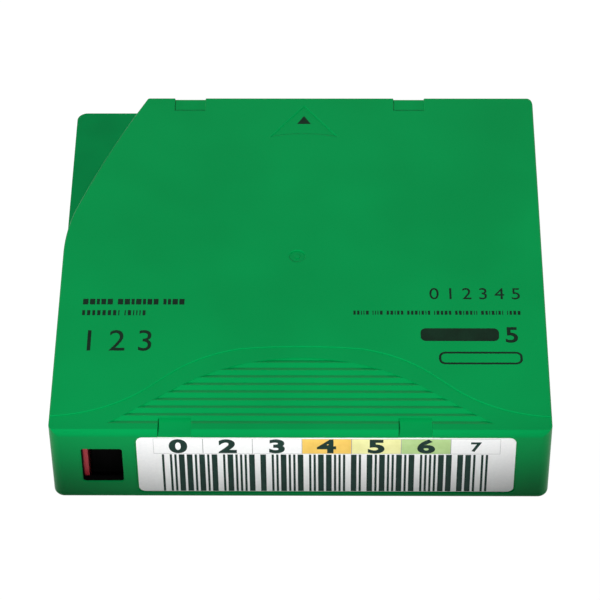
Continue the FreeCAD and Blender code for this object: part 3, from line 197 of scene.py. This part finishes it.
def rampOn(tree, source, low, high, start=0.35, end=0.65):
    ramp = tree.nodes.new("ShaderNodeValToRGB")
    ramp.color_ramp.elements[0].position = start
    ramp.color_ramp.elements[1].position = end
    ramp.color_ramp.elements[0].color = (*low, 1)
    ramp.color_ramp.elements[1].color = (*high, 1)
    tree.links.new(source, ramp.inputs["Fac"])
    return ramp.outputs["Color"]


def rangeOn(tree, source, low, high, start=0.3, end=0.7):
    span = tree.nodes.new("ShaderNodeMapRange")
    span.inputs["From Min"].default_value = start
    span.inputs["From Max"].default_value = end
    span.inputs["To Min"].default_value = low
    span.inputs["To Max"].default_value = high
    tree.links.new(source, span.inputs["Value"])
    return span.outputs["Result"]


def bumpOn(tree, shader, height, depth, strength):
    bump = tree.nodes.new("ShaderNodeBump")
    bump.inputs["Distance"].default_value = depth
    bump.inputs["Strength"].default_value = strength
    tree.links.new(height, bump.inputs["Height"])
    tree.links.new(bump.outputs["Normal"], shader.inputs["Normal"])


def mouldedPlastic(name, look):
    material, tree, shader, where = startMaterial(name)
    cloud = noiseOn(tree, where, look["cloud"], 2)
    tree.links.new(rampOn(tree, cloud, look["dark"], look["light"]), shader.inputs["Base Color"])
    grain = noiseOn(tree, where, look["grain"], 2)
    tree.links.new(rangeOn(tree, grain, *look["gloss"]), shader.inputs["Roughness"])
    bumpOn(tree, shader, grain, look["grain"] / 6, look["relief"])  # a sixth as deep as wide
    shader.inputs["IOR"].default_value = look.get("ior", 1.46)
    shader.inputs["Specular IOR Level"].default_value = look.get("shine", 0.5)
    return material


def brushedMetal(name, look):
    material, tree, shader, where = startMaterial(name)
    stretch = tree.nodes.new("ShaderNodeMapping")
    stretch.inputs["Scale"].default_value = look["stretch"]
    tree.links.new(where, stretch.inputs["Vector"])
    lines = noiseOn(tree, stretch.outputs["Vector"], look["grain"], 4)
    tree.links.new(rampOn(tree, lines, look["dark"], look["light"]), shader.inputs["Base Color"])
    tree.links.new(rangeOn(tree, lines, *look["gloss"]), shader.inputs["Roughness"])
    bumpOn(tree, shader, lines, look["grain"] / 10, look["relief"])  # a tenth as deep
    shader.inputs["Metallic"].default_value = 1.0
    return material


# dark and light are the two tones, cloud the size of their patches and grain that of the
# fine grain, in metres; gloss is the range of roughness and relief the grain's strength.
# A finish with a stretch is metal, and its grain lies in brushed lines.
finishes = {
    "caseGreen": dict(dark=(0.0002, 0.236, 0.055), light=(0.0004, 0.262, 0.062), cloud=0.03,
                      grain=0.00028, gloss=(0.27, 0.35), relief=0.12, ior=1.4, shine=0.08),
    # the next finish is a darker green: painted shade for the low shoulder beside the slanted
    # edge
    "deckShadeGreen": dict(dark=(0.0002, 0.176, 0.044), light=(0.0004, 0.200, 0.050), cloud=0.012,
                      grain=0.00032, gloss=(0.42, 0.52), relief=0.2, ior=1.4, shine=0.08),
    "doorGreen": dict(dark=(0.0004, 0.190, 0.048), light=(0.0008, 0.215, 0.054), cloud=0.01,
                      grain=0.00025, gloss=(0.36, 0.46), relief=0.14, ior=1.4, shine=0.1),
    "reelWhite": dict(dark=(0.60, 0.60, 0.57), light=(0.68, 0.68, 0.64), cloud=0.02,
                      grain=0.0005, gloss=(0.30, 0.40), relief=0.05),
    "brakeIvory": dict(dark=(0.50, 0.47, 0.40), light=(0.58, 0.55, 0.47), cloud=0.01,
                       grain=0.0004, gloss=(0.38, 0.48), relief=0.06),
    "releaseGrey": dict(dark=(0.07, 0.075, 0.08), light=(0.09, 0.095, 0.10), cloud=0.01,
                        grain=0.0003, gloss=(0.35, 0.45), relief=0.06),
    "clipBlack": dict(dark=(0.018, 0.018, 0.019), light=(0.026, 0.026, 0.028), cloud=0.004,
                      grain=0.0002, gloss=(0.4, 0.5), relief=0.08),
    "slideRed": dict(dark=(0.30, 0.022, 0.03), light=(0.36, 0.03, 0.04), cloud=0.005,
                     grain=0.00025, gloss=(0.42, 0.52), relief=0.1),
    # the next finish is near black: painted shade for the lining inside the write-protect window
    "windowShadeBlack": dict(dark=(0.0012, 0.0013, 0.0012), light=(0.002, 0.002, 0.002), cloud=0.005,
                      grain=0.0003, gloss=(0.75, 0.85), relief=0.05, shine=0.05),
    "chipResin": dict(dark=(0.012, 0.012, 0.013), light=(0.018, 0.018, 0.02), cloud=0.002,
                      grain=0.00012, gloss=(0.45, 0.6), relief=0.2),
    "inkDark": dict(dark=(0.001, 0.010, 0.004), light=(0.002, 0.016, 0.007), cloud=0.004,
                    grain=0.0002, gloss=(0.45, 0.6), relief=0.03, shine=0.12),
    "labelInk": dict(dark=(0.004, 0.022, 0.016), light=(0.008, 0.034, 0.025), cloud=0.003,
                     grain=0.00012, gloss=(0.42, 0.55), relief=0.03, shine=0.15),
    "cellOrange": dict(dark=(0.86, 0.55, 0.10), light=(0.95, 0.63, 0.13), cloud=0.003,
                       grain=0.00015, gloss=(0.3, 0.4), relief=0.03),
    "cellYellow": dict(dark=(0.83, 0.82, 0.36), light=(0.90, 0.89, 0.42), cloud=0.003,
                       grain=0.00015, gloss=(0.3, 0.4), relief=0.03),
    "cellGreen": dict(dark=(0.42, 0.62, 0.24), light=(0.48, 0.68, 0.29), cloud=0.003,
                      grain=0.00015, gloss=(0.3, 0.4), relief=0.03),
    "cellGrey": dict(dark=(0.30, 0.31, 0.31), light=(0.38, 0.39, 0.39), cloud=0.003,
                     grain=0.00015, gloss=(0.3, 0.4), relief=0.03),
    "screwSteel": dict(dark=(0.28, 0.28, 0.29), light=(0.40, 0.40, 0.41), stretch=(1, 1, 4),
                       grain=0.0003, gloss=(0.26, 0.38), relief=0.08),
    "clutchSteel": dict(dark=(0.48, 0.48, 0.49), light=(0.62, 0.62, 0.62), stretch=(1, 6, 1),
                        grain=0.0004, gloss=(0.22, 0.34), relief=0.08),
    "springSteel": dict(dark=(0.36, 0.36, 0.37), light=(0.47, 0.47, 0.48), stretch=(1, 1, 0.1),
                        grain=0.0004, gloss=(0.24, 0.34), relief=0.015),
    "pinSteel": dict(dark=(0.58, 0.58, 0.59), light=(0.70, 0.70, 0.70), stretch=(1, 1, 8),
                     grain=0.0003, gloss=(0.14, 0.22), relief=0.04),
}


def tapeEdge():
    # rings of wound film about the reel's axis, just under 3 mm apart
    look = dict(ringScale=1 / 0.009, waver=0.6, dark=(0.020, 0.016, 0.014),
                light=(0.045, 0.036, 0.031), gloss=0.28, depth=0.00005, relief=0.3)
    material, tree, shader, where = startMaterial("woundFilm")
    axis = tree.nodes.new("ShaderNodeMapping")
    axis.inputs["Location"].default_value = (-reelX, 0, 0)
    tree.links.new(where, axis.inputs["Vector"])
    rings = tree.nodes.new("ShaderNodeTexWave")
    rings.wave_type = "RINGS"
    rings.rings_direction = "Z"
    rings.inputs["Scale"].default_value = look["ringScale"]
    rings.inputs["Distortion"].default_value = look["waver"]
    tree.links.new(axis.outputs["Vector"], rings.inputs["Vector"])
    tree.links.new(rampOn(tree, rings.outputs["Fac"], look["dark"], look["light"]),
                   shader.inputs["Base Color"])
    shader.inputs["Roughness"].default_value = look["gloss"]
    bumpOn(tree, shader, rings.outputs["Fac"], look["depth"], look["relief"])
    return material


def labelPaper():
    # coated paper: faint fibre in its colour and a low sheen
    look = dict(fibre=0.0006, dark=(0.93, 0.94, 0.94), light=(0.97, 0.975, 0.97), gloss=0.36,
                depth=0.00004, relief=0.1)
    material, tree, shader, where = startMaterial("coatedPaper")
    fibre = noiseOn(tree, where, look["fibre"], 4)
    tree.links.new(rampOn(tree, fibre, look["dark"], look["light"]), shader.inputs["Base Color"])
    shader.inputs["Roughness"].default_value = look["gloss"]
    bumpOn(tree, shader, fibre, look["depth"], look["relief"])
    return material


def boardLaminate():
    # green board, with the aerial's tracks faintly seen through the solder mask
    look = dict(tracks=60, waver=0.4, dark=(0.006, 0.09, 0.03), light=(0.010, 0.14, 0.05),
                gloss=0.3, coat=0.4, depth=0.00003, relief=0.2)
    material, tree, shader, where = startMaterial("boardMask")
    tracks = tree.nodes.new("ShaderNodeTexWave")
    tracks.inputs["Scale"].default_value = look["tracks"]
    tracks.inputs["Distortion"].default_value = look["waver"]
    tree.links.new(where, tracks.inputs["Vector"])
    tree.links.new(rampOn(tree, tracks.outputs["Fac"], look["dark"], look["light"]),
                   shader.inputs["Base Color"])
    shader.inputs["Roughness"].default_value = look["gloss"]
    shader.inputs["Coat Weight"].default_value = look["coat"]
    bumpOn(tree, shader, tracks.outputs["Fac"], look["depth"], look["relief"])
    return material


reelLow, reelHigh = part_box("reel_hub")
reelX = (reelLow.x + reelHigh.x) / 2
paint = {name: (brushedMetal if "stretch" in look else mouldedPlastic)(name, look)
         for name, look in finishes.items()}
paint["woundFilm"] = tapeEdge()
paint["coatedPaper"] = labelPaper()
paint["boardMask"] = boardLaminate()

nodeFinish = {
    "upper_case": "caseGreen", "lower_case": "caseGreen", "barcode_label": "coatedPaper",
    "case_screws": "screwSteel", "reel_hub": "reelWhite", "reel_upper_flange": "reelWhite",
    "drive_plate": "clutchSteel", "tape_pack": "woundFilm", "leader_tape": "woundFilm",
    "release_spider": "releaseGrey", "brake_button": "brakeIvory", "brake_spring": "springSteel",
    "door_spring": "springSteel", "pin_spring": "springSteel", "leader_pin": "pinSteel",
    "pin_clip": "clipBlack", "access_door": "doorGreen", "write_protect_slider": "slideRed",
    "memory_board": "boardMask", "memory_chip": "chipResin",
}
for nodeName, finishName in nodeFinish.items():
    node = frame["nodes"][nodeName]
    node.data.materials.clear()
    node.data.materials.append(paint[finishName])
print("materials on", len(nodeFinish), "nodes")


shellLook = dict(inkDepth=0.02 * mm, near=0.01 * mm, deckTop=16.4 * mm, deckSide=-30 * mm,
                 level=0.95)


def copyShell():
    # the top face lies a hair lower, so that the ink stays inside the case's height
    shell = copyNode("upper_case")
    for corner in shell.data.vertices:
        if corner.co.z > topZ - shellLook["near"]:
            corner.co.z = topZ - shellLook["inkDepth"]
    addPiece(shell, "upper_case_shell", paint["caseGreen"], stands=["upper_case"])
    # the low shoulder beside the slanted edge has a coarser surface, and its darker green is
    # painted shade
    shell.data.materials.append(paint["deckShadeGreen"])
    for face in shell.data.polygons:
        onDeck = abs(face.center.z - shellLook["deckTop"]) < shellLook["near"]
        level = face.normal.z > shellLook["level"]
        if onDeck and level and face.center.x < shellLook["deckSide"]:
            face.material_index = 1
    return shell


upperShell = copyShell()
print("upper case shell", len(upperShell.data.polygons), "faces")


def windowSleeve():
    # a thin black frame inside the window's opening, back from the near face: painted shade that
    # darkens the opening's walls
    look = dict(left=-46.1, right=-37.5, foot=5.3, head=15.7, start=0.25, stop=1.58,
                corner=0.6, cornerSteps=5, clear=0.03, wall=0.06)
    nearY, farY = (cadBox[0].y + look[end] * mm for end in ("start", "stop"))
    clearSelection()
    bpy.ops.mesh.primitive_cube_add(size=1, location=((look["left"] + look["right"]) / 2 * mm,
                                                      (nearY + farY) / 2,
                                                      (look["foot"] + look["head"]) / 2 * mm))
    sleeve = bpy.context.object
    sleeve.scale = ((look["right"] - look["left"] - look["clear"]) * mm, farY - nearY,
                    (look["head"] - look["foot"] - look["clear"]) * mm)
    bakePlace(sleeve)
    pickEdges(sleeve, lambda start, end: abs(start.y - end.y) > (farY - nearY) / 2)
    bpy.ops.mesh.bevel(offset=look["corner"] * mm, segments=look["cornerSteps"])
    leaveEdit()
    dropFaces(sleeve, lambda face: abs(face.normal.y) > 0.9)  # open at the front and back
    giveWall(sleeve, look["wall"] * mm, -1)
    addPiece(sleeve, "window_sleeve", paint["windowShadeBlack"])


def windowWell():
    # a black box round the slide's track, open to the near face: painted shade that makes the
    # inside behind the window black;
    # the sizes are its margins beyond the slide at rest, and right leaves room for the slide to
    # move
    look = dict(left=0.3, near=0.05, low=0.06, right=8.0, far=0.1, high=0.06, wall=0.03)
    slideLow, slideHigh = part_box("write_protect_slider")
    low = slideLow - Vector((look["left"], look["near"], look["low"])) * mm
    high = slideHigh + Vector((look["right"], look["far"], look["high"])) * mm
    clearSelection()
    bpy.ops.mesh.primitive_cube_add(size=1, location=(low + high) / 2)
    well = bpy.context.object
    well.scale = high - low
    bakePlace(well)
    dropFaces(well, lambda face: face.normal.y < -0.9)  # open at the front
    giveWall(well, look["wall"] * mm, 1)
    addPiece(well, "window_well", paint["windowShadeBlack"])


windowSleeve()
windowWell()
print("window lining")


def inkPlate(low, high):
    # a flat plate between two corners, in millimetres, on the top face
    clearSelection()
    bpy.ops.mesh.primitive_plane_add(size=1, location=((low[0] + high[0]) / 2 * mm,
                                                       (low[1] + high[1]) / 2 * mm, topZ))
    plate = bpy.context.object
    plate.scale = ((high[0] - low[0]) * mm, (high[1] - low[1]) * mm, 1)
    bakePlace(plate)
    return plate


def thicken(piece, along, depth):
    # gives a flat piece its thickness, away from the direction it faces
    pickFaces(piece, lambda face: True)
    bpy.ops.mesh.extrude_region_move(
        TRANSFORM_OT_translate={"value": tuple(-depth * part for part in along)})
    bpy.ops.mesh.select_all(action="SELECT")
    bpy.ops.mesh.normals_make_consistent(inside=False)
    leaveEdit()


def outlineOnly(piece, width):
    # leaves a flat piece as a line of this width along its edge
    pickFaces(piece, lambda face: True)
    bpy.ops.mesh.inset(thickness=width)
    bpy.ops.mesh.delete(type="FACE")
    leaveEdit()


def keepStrips(piece, strips):
    # cuts a flat piece at both ends of each strip along X and keeps the strips
    for x in (end for strip in strips for end in strip):
        pickWhole(piece)
        bpy.ops.mesh.bisect(plane_co=(x * mm, 0, 0), plane_no=(1, 0, 0))
        leaveEdit()
    dropFaces(piece, lambda face: not any(start * mm < face.center.x < end * mm
                                          for start, end in strips))


# lines of fine print, as plain blocks in groups; widths and spaces are shares of the height
rowLooks = {
    "ink_row_left_far": dict(left=-47.4, right=-25.4, near=-14.7, height=1.65,
                             widths=(0.4, 0.62, 0.7), space=0.2, seed=3),
    "ink_row_left_near": dict(left=-47.4, right=-33.6, near=-17.9, height=1.5,
                              widths=(0.16, 0.4, 0.46), space=0.3, seed=5),
    "ink_row_right": dict(left=11.2, right=47.6, near=-17.6, height=1.15,
                          widths=(0.16, 0.42, 0.5), space=0.3, seed=8),
}


def wordRow(name, look, fewest=4, most=9, wordSpace=0.45):
    shuffle = random.Random(look["seed"])
    height, right = look["height"], look["right"]
    row = inkPlate((look["left"], look["near"]), (right, look["near"] + height))
    blocks, x = [], look["left"]
    while x < right - height:
        for part in range(shuffle.randint(fewest, most)):
            width = height * shuffle.choice(look["widths"])
            blocks.append((x, x + width))
            x += width + height * look["space"]
        x += height * wordSpace
    keepStrips(row, [(start, end) for start, end in blocks if end < right])
    thicken(row, (0, 0, 1), shellLook["inkDepth"])
    addPiece(row, name, paint["inkDark"])


def numbersOn(name, words, place, look, depth, upright=False, ink="inkDark",
              roundness=6, weld=0.0005 * mm):
    # plain figures as a thin closed mesh, lying on the top or standing on the near face
    clearSelection()
    bpy.ops.object.text_add(location=(0, 0, 0))
    figures = bpy.context.object
    figures.data.body = words
    figures.data.size = look["size"] * mm
    figures.data.offset = look.get("bold", 0) * mm
    figures.data.extrude = depth / 2
    figures.data.align_x = look.get("align", "LEFT")
    figures.data.resolution_u = roundness
    makeActive(figures)
    bpy.ops.object.convert(target="MESH")
    figures = bpy.context.object
    figures.scale.x = look.get("stretch", 1)
    figures.rotation_euler.x = math.radians(90 if upright else 0)
    figures.location = place
    bakePlace(figures)
    pickWhole(figures)
    bpy.ops.mesh.remove_doubles(threshold=weld)
    bpy.ops.mesh.normals_make_consistent(inside=False)
    leaveEdit()
    addPiece(figures, name, paint[ink])


def topNumbers(name, look):
    place = (look["x"] * mm, look["y"] * mm, topZ - shellLook["inkDepth"] / 2)
    numbersOn(name, look["words"], place, look, shellLook["inkDepth"])


for name, look in rowLooks.items():
    wordRow(name, look)
topNumbers("ink_capacity", dict(words="1 2 3", x=-47.4, y=-28.2, size=8.6, stretch=0.9))
topNumbers("ink_code", dict(words="0 1 2 3 4 5", x=47.6, y=-13.0, size=4.8, stretch=0.95,
                            align="RIGHT"))
print("ink rows and figures")


def inkArrow():
    # the small solid triangle in the insertion arrow's recess
    look = dict(tip=45.05, foot=42.4, half=1.56, down=0.3)
    clearSelection()
    bpy.ops.mesh.primitive_circle_add(vertices=3, radius=1 * mm, fill_type="NGON",
                                      location=(0, 0, 0))
    arrow = bpy.context.object
    corners = sorted(arrow.data.vertices, key=lambda corner: corner.co.y)
    places = [(-look["half"], look["foot"]), (look["half"], look["foot"]), (0, look["tip"])]
    corners[:2] = sorted(corners[:2], key=lambda corner: corner.co.x)
    for corner, (x, y) in zip(corners, places):
        corner.co = (x * mm, y * mm, topZ - look["down"] * mm + shellLook["inkDepth"])
    thicken(arrow, (0, 0, 1), shellLook["inkDepth"])
    addPiece(arrow, "ink_arrow", paint["inkDark"])


badgeLooks = {
    "ink_bar_solid": dict(low=(25.6, -25.3), high=(42.4, -21.6), radius=1.2),
    "ink_bar_outline": dict(low=(29.4, -32.0), high=(47.2, -28.4), radius=1.4, line=0.5),
}


def inkBadge(name, look, cornerSteps=6):
    # a plain rounded bar, solid or only its outline
    badge = inkPlate(look["low"], look["high"])
    pickFaces(badge, lambda face: True)
    bpy.ops.mesh.bevel(offset=look["radius"] * mm, segments=cornerSteps, affect="VERTICES")
    leaveEdit()
    if "line" in look:
        outlineOnly(badge, look["line"] * mm)
    thicken(badge, (0, 0, 1), shellLook["inkDepth"])
    addPiece(badge, name, paint["inkDark"])


inkArrow()
for name, look in badgeLooks.items():
    inkBadge(name, look)
topNumbers("ink_figure", dict(words="5", x=43.6, y=-25.6, size=6.2, bold=0.12))
print("ink arrow and badges")


labelPlan = dict(firstCell=-30.83, cell=10.4, cellFoot=14.16, cellTop=18.95, line=0.14,
                 barLeft=-29.15, barRight=39.6, barFoot=1.95, barTop=13.91, thin=0.477,
                 thick=1.19, seed=11, depth=0.015 * mm)
largeFigure = dict(size=5.7, lift=0.45, bold=0.24, stretch=1.3, align="CENTER")
smallFigure = dict(size=4.0, lift=0.95, bold=0.12, stretch=1.1, align="CENTER")
labelCellPlan = [  # each cell's tint, its figure and how that is drawn
    (None, "0", largeFigure), (None, "2", largeFigure), (None, "3", largeFigure),
    ("cellOrange", "4", largeFigure), ("cellYellow", "5", largeFigure),
    ("cellGreen", "6", largeFigure), (None, "7", smallFigure),
]
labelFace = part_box("barcode_label")[0].y - labelPlan["depth"]


def labelPlate(low, high):
    # a thin upright plate on the label, from X and Z corners in millimetres
    clearSelection()
    bpy.ops.mesh.primitive_plane_add(size=1, rotation=(math.radians(90), 0, 0),
                                     location=((low[0] + high[0]) / 2 * mm, labelFace,
                                               (low[1] + high[1]) / 2 * mm))
    plate = bpy.context.object
    plate.scale = ((high[0] - low[0]) * mm, (high[1] - low[1]) * mm, 1)
    bakePlace(plate)
    return plate


def barField():
    plan = labelPlan
    field = labelPlate((plan["barLeft"], plan["barFoot"]), (plan["barRight"], plan["barTop"]))
    shuffle = random.Random(plan["seed"])
    bars, x = [], plan["barLeft"]
    while x < plan["barRight"] - plan["thick"]:
        # each group is five bars, two of them thick, with a thick gap among four thin ones
        widths = [plan["thin"]] * 3 + [plan["thick"]] * 2
        spaces = [plan["thin"]] * 4 + [plan["thick"]]
        shuffle.shuffle(widths)
        shuffle.shuffle(spaces)
        for width, space in zip(widths, spaces):
            bars.append((x, x + width))
            x += width + space
    keepStrips(field, [(start, end) for start, end in bars if end < plan["barRight"]])
    thicken(field, (0, -1, 0), plan["depth"])
    addPiece(field, "label_bars", paint["labelInk"])


def labelCells():
    plan = labelPlan
    half = plan["line"] / 2
    foot, top = plan["cellFoot"], plan["cellTop"]
    for index, (tint, figure, look) in enumerate(labelCellPlan):
        left = plan["firstCell"] + index * plan["cell"]
        right = left + plan["cell"]
        border = labelPlate((left, foot), (right, top))
        outlineOnly(border, half * mm)
        thicken(border, (0, -1, 0), plan["depth"])
        addPiece(border, f"label_cell_line_{index}", paint["cellGrey"])
        if tint:
            field = labelPlate((left + half, foot + half), (right - half, top - half))
            thicken(field, (0, -1, 0), plan["depth"])
            addPiece(field, f"label_cell_{index}", paint[tint])
        place = ((left + right) / 2 * mm, labelFace - plan["depth"] / 2,
                 (foot + look["lift"]) * mm)
        numbersOn(f"label_figure_{index}", figure, place, look, plan["depth"], upright=True,
                  ink="labelInk")


barField()
labelCells()
print("label print")


springLook = dict(weld=0.001 * mm, smoothUnder=50, doorAxisZ=5.2 * mm)


def springCopy(nodeName):
    # a coil spring between its fixed end and the piece it pushes, copied, welded and shaded
    # smooth
    spring = copyNode(nodeName)
    pickWhole(spring)
    bpy.ops.mesh.remove_doubles(threshold=springLook["weld"])
    leaveEdit()
    bpy.ops.object.shade_smooth_by_angle(angle=math.radians(springLook["smoothUnder"]))
    spring.name = nodeName + "_coil"
    spring.data.name = spring.name
    if "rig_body" in spring:
        del spring["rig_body"]  # the node rode on the case alone
    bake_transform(spring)
    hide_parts(nodeName)


springCopy("brake_spring")
springCopy("door_spring")
print("springs")


def seenShare(tree, share):
    # share for what the lens, a reflection or a clear part sees, 0 for light on other things
    path = tree.nodes.new("ShaderNodeLightPath")
    first = tree.nodes.new("ShaderNodeMath")
    second = tree.nodes.new("ShaderNodeMath")
    scaled = tree.nodes.new("ShaderNodeMath")
    first.operation = second.operation = "MAXIMUM"
    scaled.operation = "MULTIPLY"
    scaled.inputs[1].default_value = share
    tree.links.new(path.outputs["Is Camera Ray"], first.inputs[0])
    tree.links.new(path.outputs["Is Glossy Ray"], first.inputs[1])
    tree.links.new(first.outputs[0], second.inputs[0])
    tree.links.new(path.outputs["Is Transmission Ray"], second.inputs[1])
    tree.links.new(second.outputs[0], scaled.inputs[0])
    return scaled.outputs[0]


def twoShaders(tree, output, share, plain, seen):
    mix = tree.nodes.new("ShaderNodeMixShader")
    tree.links.new(seenShare(tree, share), mix.inputs["Fac"])
    tree.links.new(plain.outputs[0], mix.inputs[1])
    tree.links.new(seen.outputs[0], mix.inputs[2])
    tree.links.new(mix.outputs[0], output.inputs["Surface"])


def buildFloor():
    look = dict(size=6.0, below=0.02 * mm, paper=(0.5, 0.5, 0.5), white=1.08, share=0.93)
    clearSelection()
    bpy.ops.mesh.primitive_plane_add(size=look["size"],
                                     location=(0, 0, cadBox[0].z - look["below"]))
    floor = bpy.context.object
    floor.name = "floor"
    material = bpy.data.materials.new("floorPaper")
    material.use_nodes = True
    tree = material.node_tree
    tree.nodes.clear()
    output = tree.nodes.new("ShaderNodeOutputMaterial")
    paper = tree.nodes.new("ShaderNodeBsdfDiffuse")
    paper.inputs["Color"].default_value = (*look["paper"], 1)
    glow = tree.nodes.new("ShaderNodeEmission")
    glow.inputs["Strength"].default_value = look["white"]
    twoShaders(tree, output, look["share"], paper, glow)
    floor.data.materials.append(material)


def buildWorld():
    look = dict(fill=0.15, white=1.0, share=1.0)
    world = bpy.data.worlds.new("studio")
    bpy.context.scene.world = world
    world.use_nodes = True
    tree = world.node_tree
    tree.nodes.clear()
    output = tree.nodes.new("ShaderNodeOutputWorld")
    fill = tree.nodes.new("ShaderNodeBackground")
    fill.inputs["Strength"].default_value = look["fill"]
    fill.inputs["Color"].default_value = (1, 1, 1, 1)
    white = tree.nodes.new("ShaderNodeBackground")
    white.inputs["Strength"].default_value = look["white"]
    white.inputs["Color"].default_value = (1, 1, 1, 1)
    twoShaders(tree, output, look["share"], fill, white)


lamps = {
    # the key's round pool of light ends on the near face, which darkens towards its foot:
    # pool is its radius, edge where it ends and soft half the width of its faded rim
    "keyLamp": dict(kind="SPOT", elevation=40, side=-0.16, away=1.3, pool=0.3, edge=-0.0310,
                    soft=0.007, size=0.011, watts=86),
    "leftLamp": dict(kind="AREA", place=(-1.10, 0.20, 0.24), aim=(0, 0, 0.01), size=0.6,
                     watts=2.6),
    "rightLamp": dict(kind="AREA", place=(1.10, 0.10, 0.24), aim=(0, 0, 0.01), size=0.6,
                      watts=4.0),
}


def buildLamps():
    for name, lamp in lamps.items():
        clearSelection()
        if lamp["kind"] == "SPOT":
            rise = math.radians(lamp["elevation"])
            across = Vector((0, math.sin(rise), math.cos(rise)))
            place = Vector((lamp["side"], -math.cos(rise) * lamp["away"],
                            math.sin(rise) * lamp["away"]))
            aim = across * (lamp["edge"] + lamp["pool"])
        else:
            place, aim = Vector(lamp["place"]), Vector(lamp["aim"])
        bpy.ops.object.light_add(type=lamp["kind"], location=place)
        light = bpy.context.object
        light.name = name
        light.data.energy = lamp["watts"]
        light.visible_glossy = False
        light.rotation_euler = (aim - place).to_track_quat("-Z", "Y").to_euler()
        if lamp["kind"] == "SPOT":
            light.data.shadow_soft_size = lamp["size"]
            light.data.spot_size = 2 * math.atan(lamp["pool"] / lamp["away"])
            light.data.spot_blend = 2 * lamp["soft"] / lamp["pool"]
        else:
            light.data.size = lamp["size"]


def buildCamera():
    look = dict(place=(0.0080, -0.4635, 0.5004), turn=(43.232, 0.479, 0.555), lens=181.9,
                sensor=36, clip=0.01)  # metres, degrees and, for the lens and sensor, mm
    bpy.ops.object.camera_add(location=look["place"],
                              rotation=[math.radians(angle) for angle in look["turn"]])
    camera = bpy.context.object
    camera.data.lens = look["lens"]
    camera.data.sensor_width = look["sensor"]
    camera.data.clip_start = look["clip"]
    bpy.context.scene.camera = camera


buildFloor()
buildWorld()
buildLamps()
buildCamera()
bpy.context.scene.view_settings.view_transform = "Standard"
print("stage, lamps and camera")
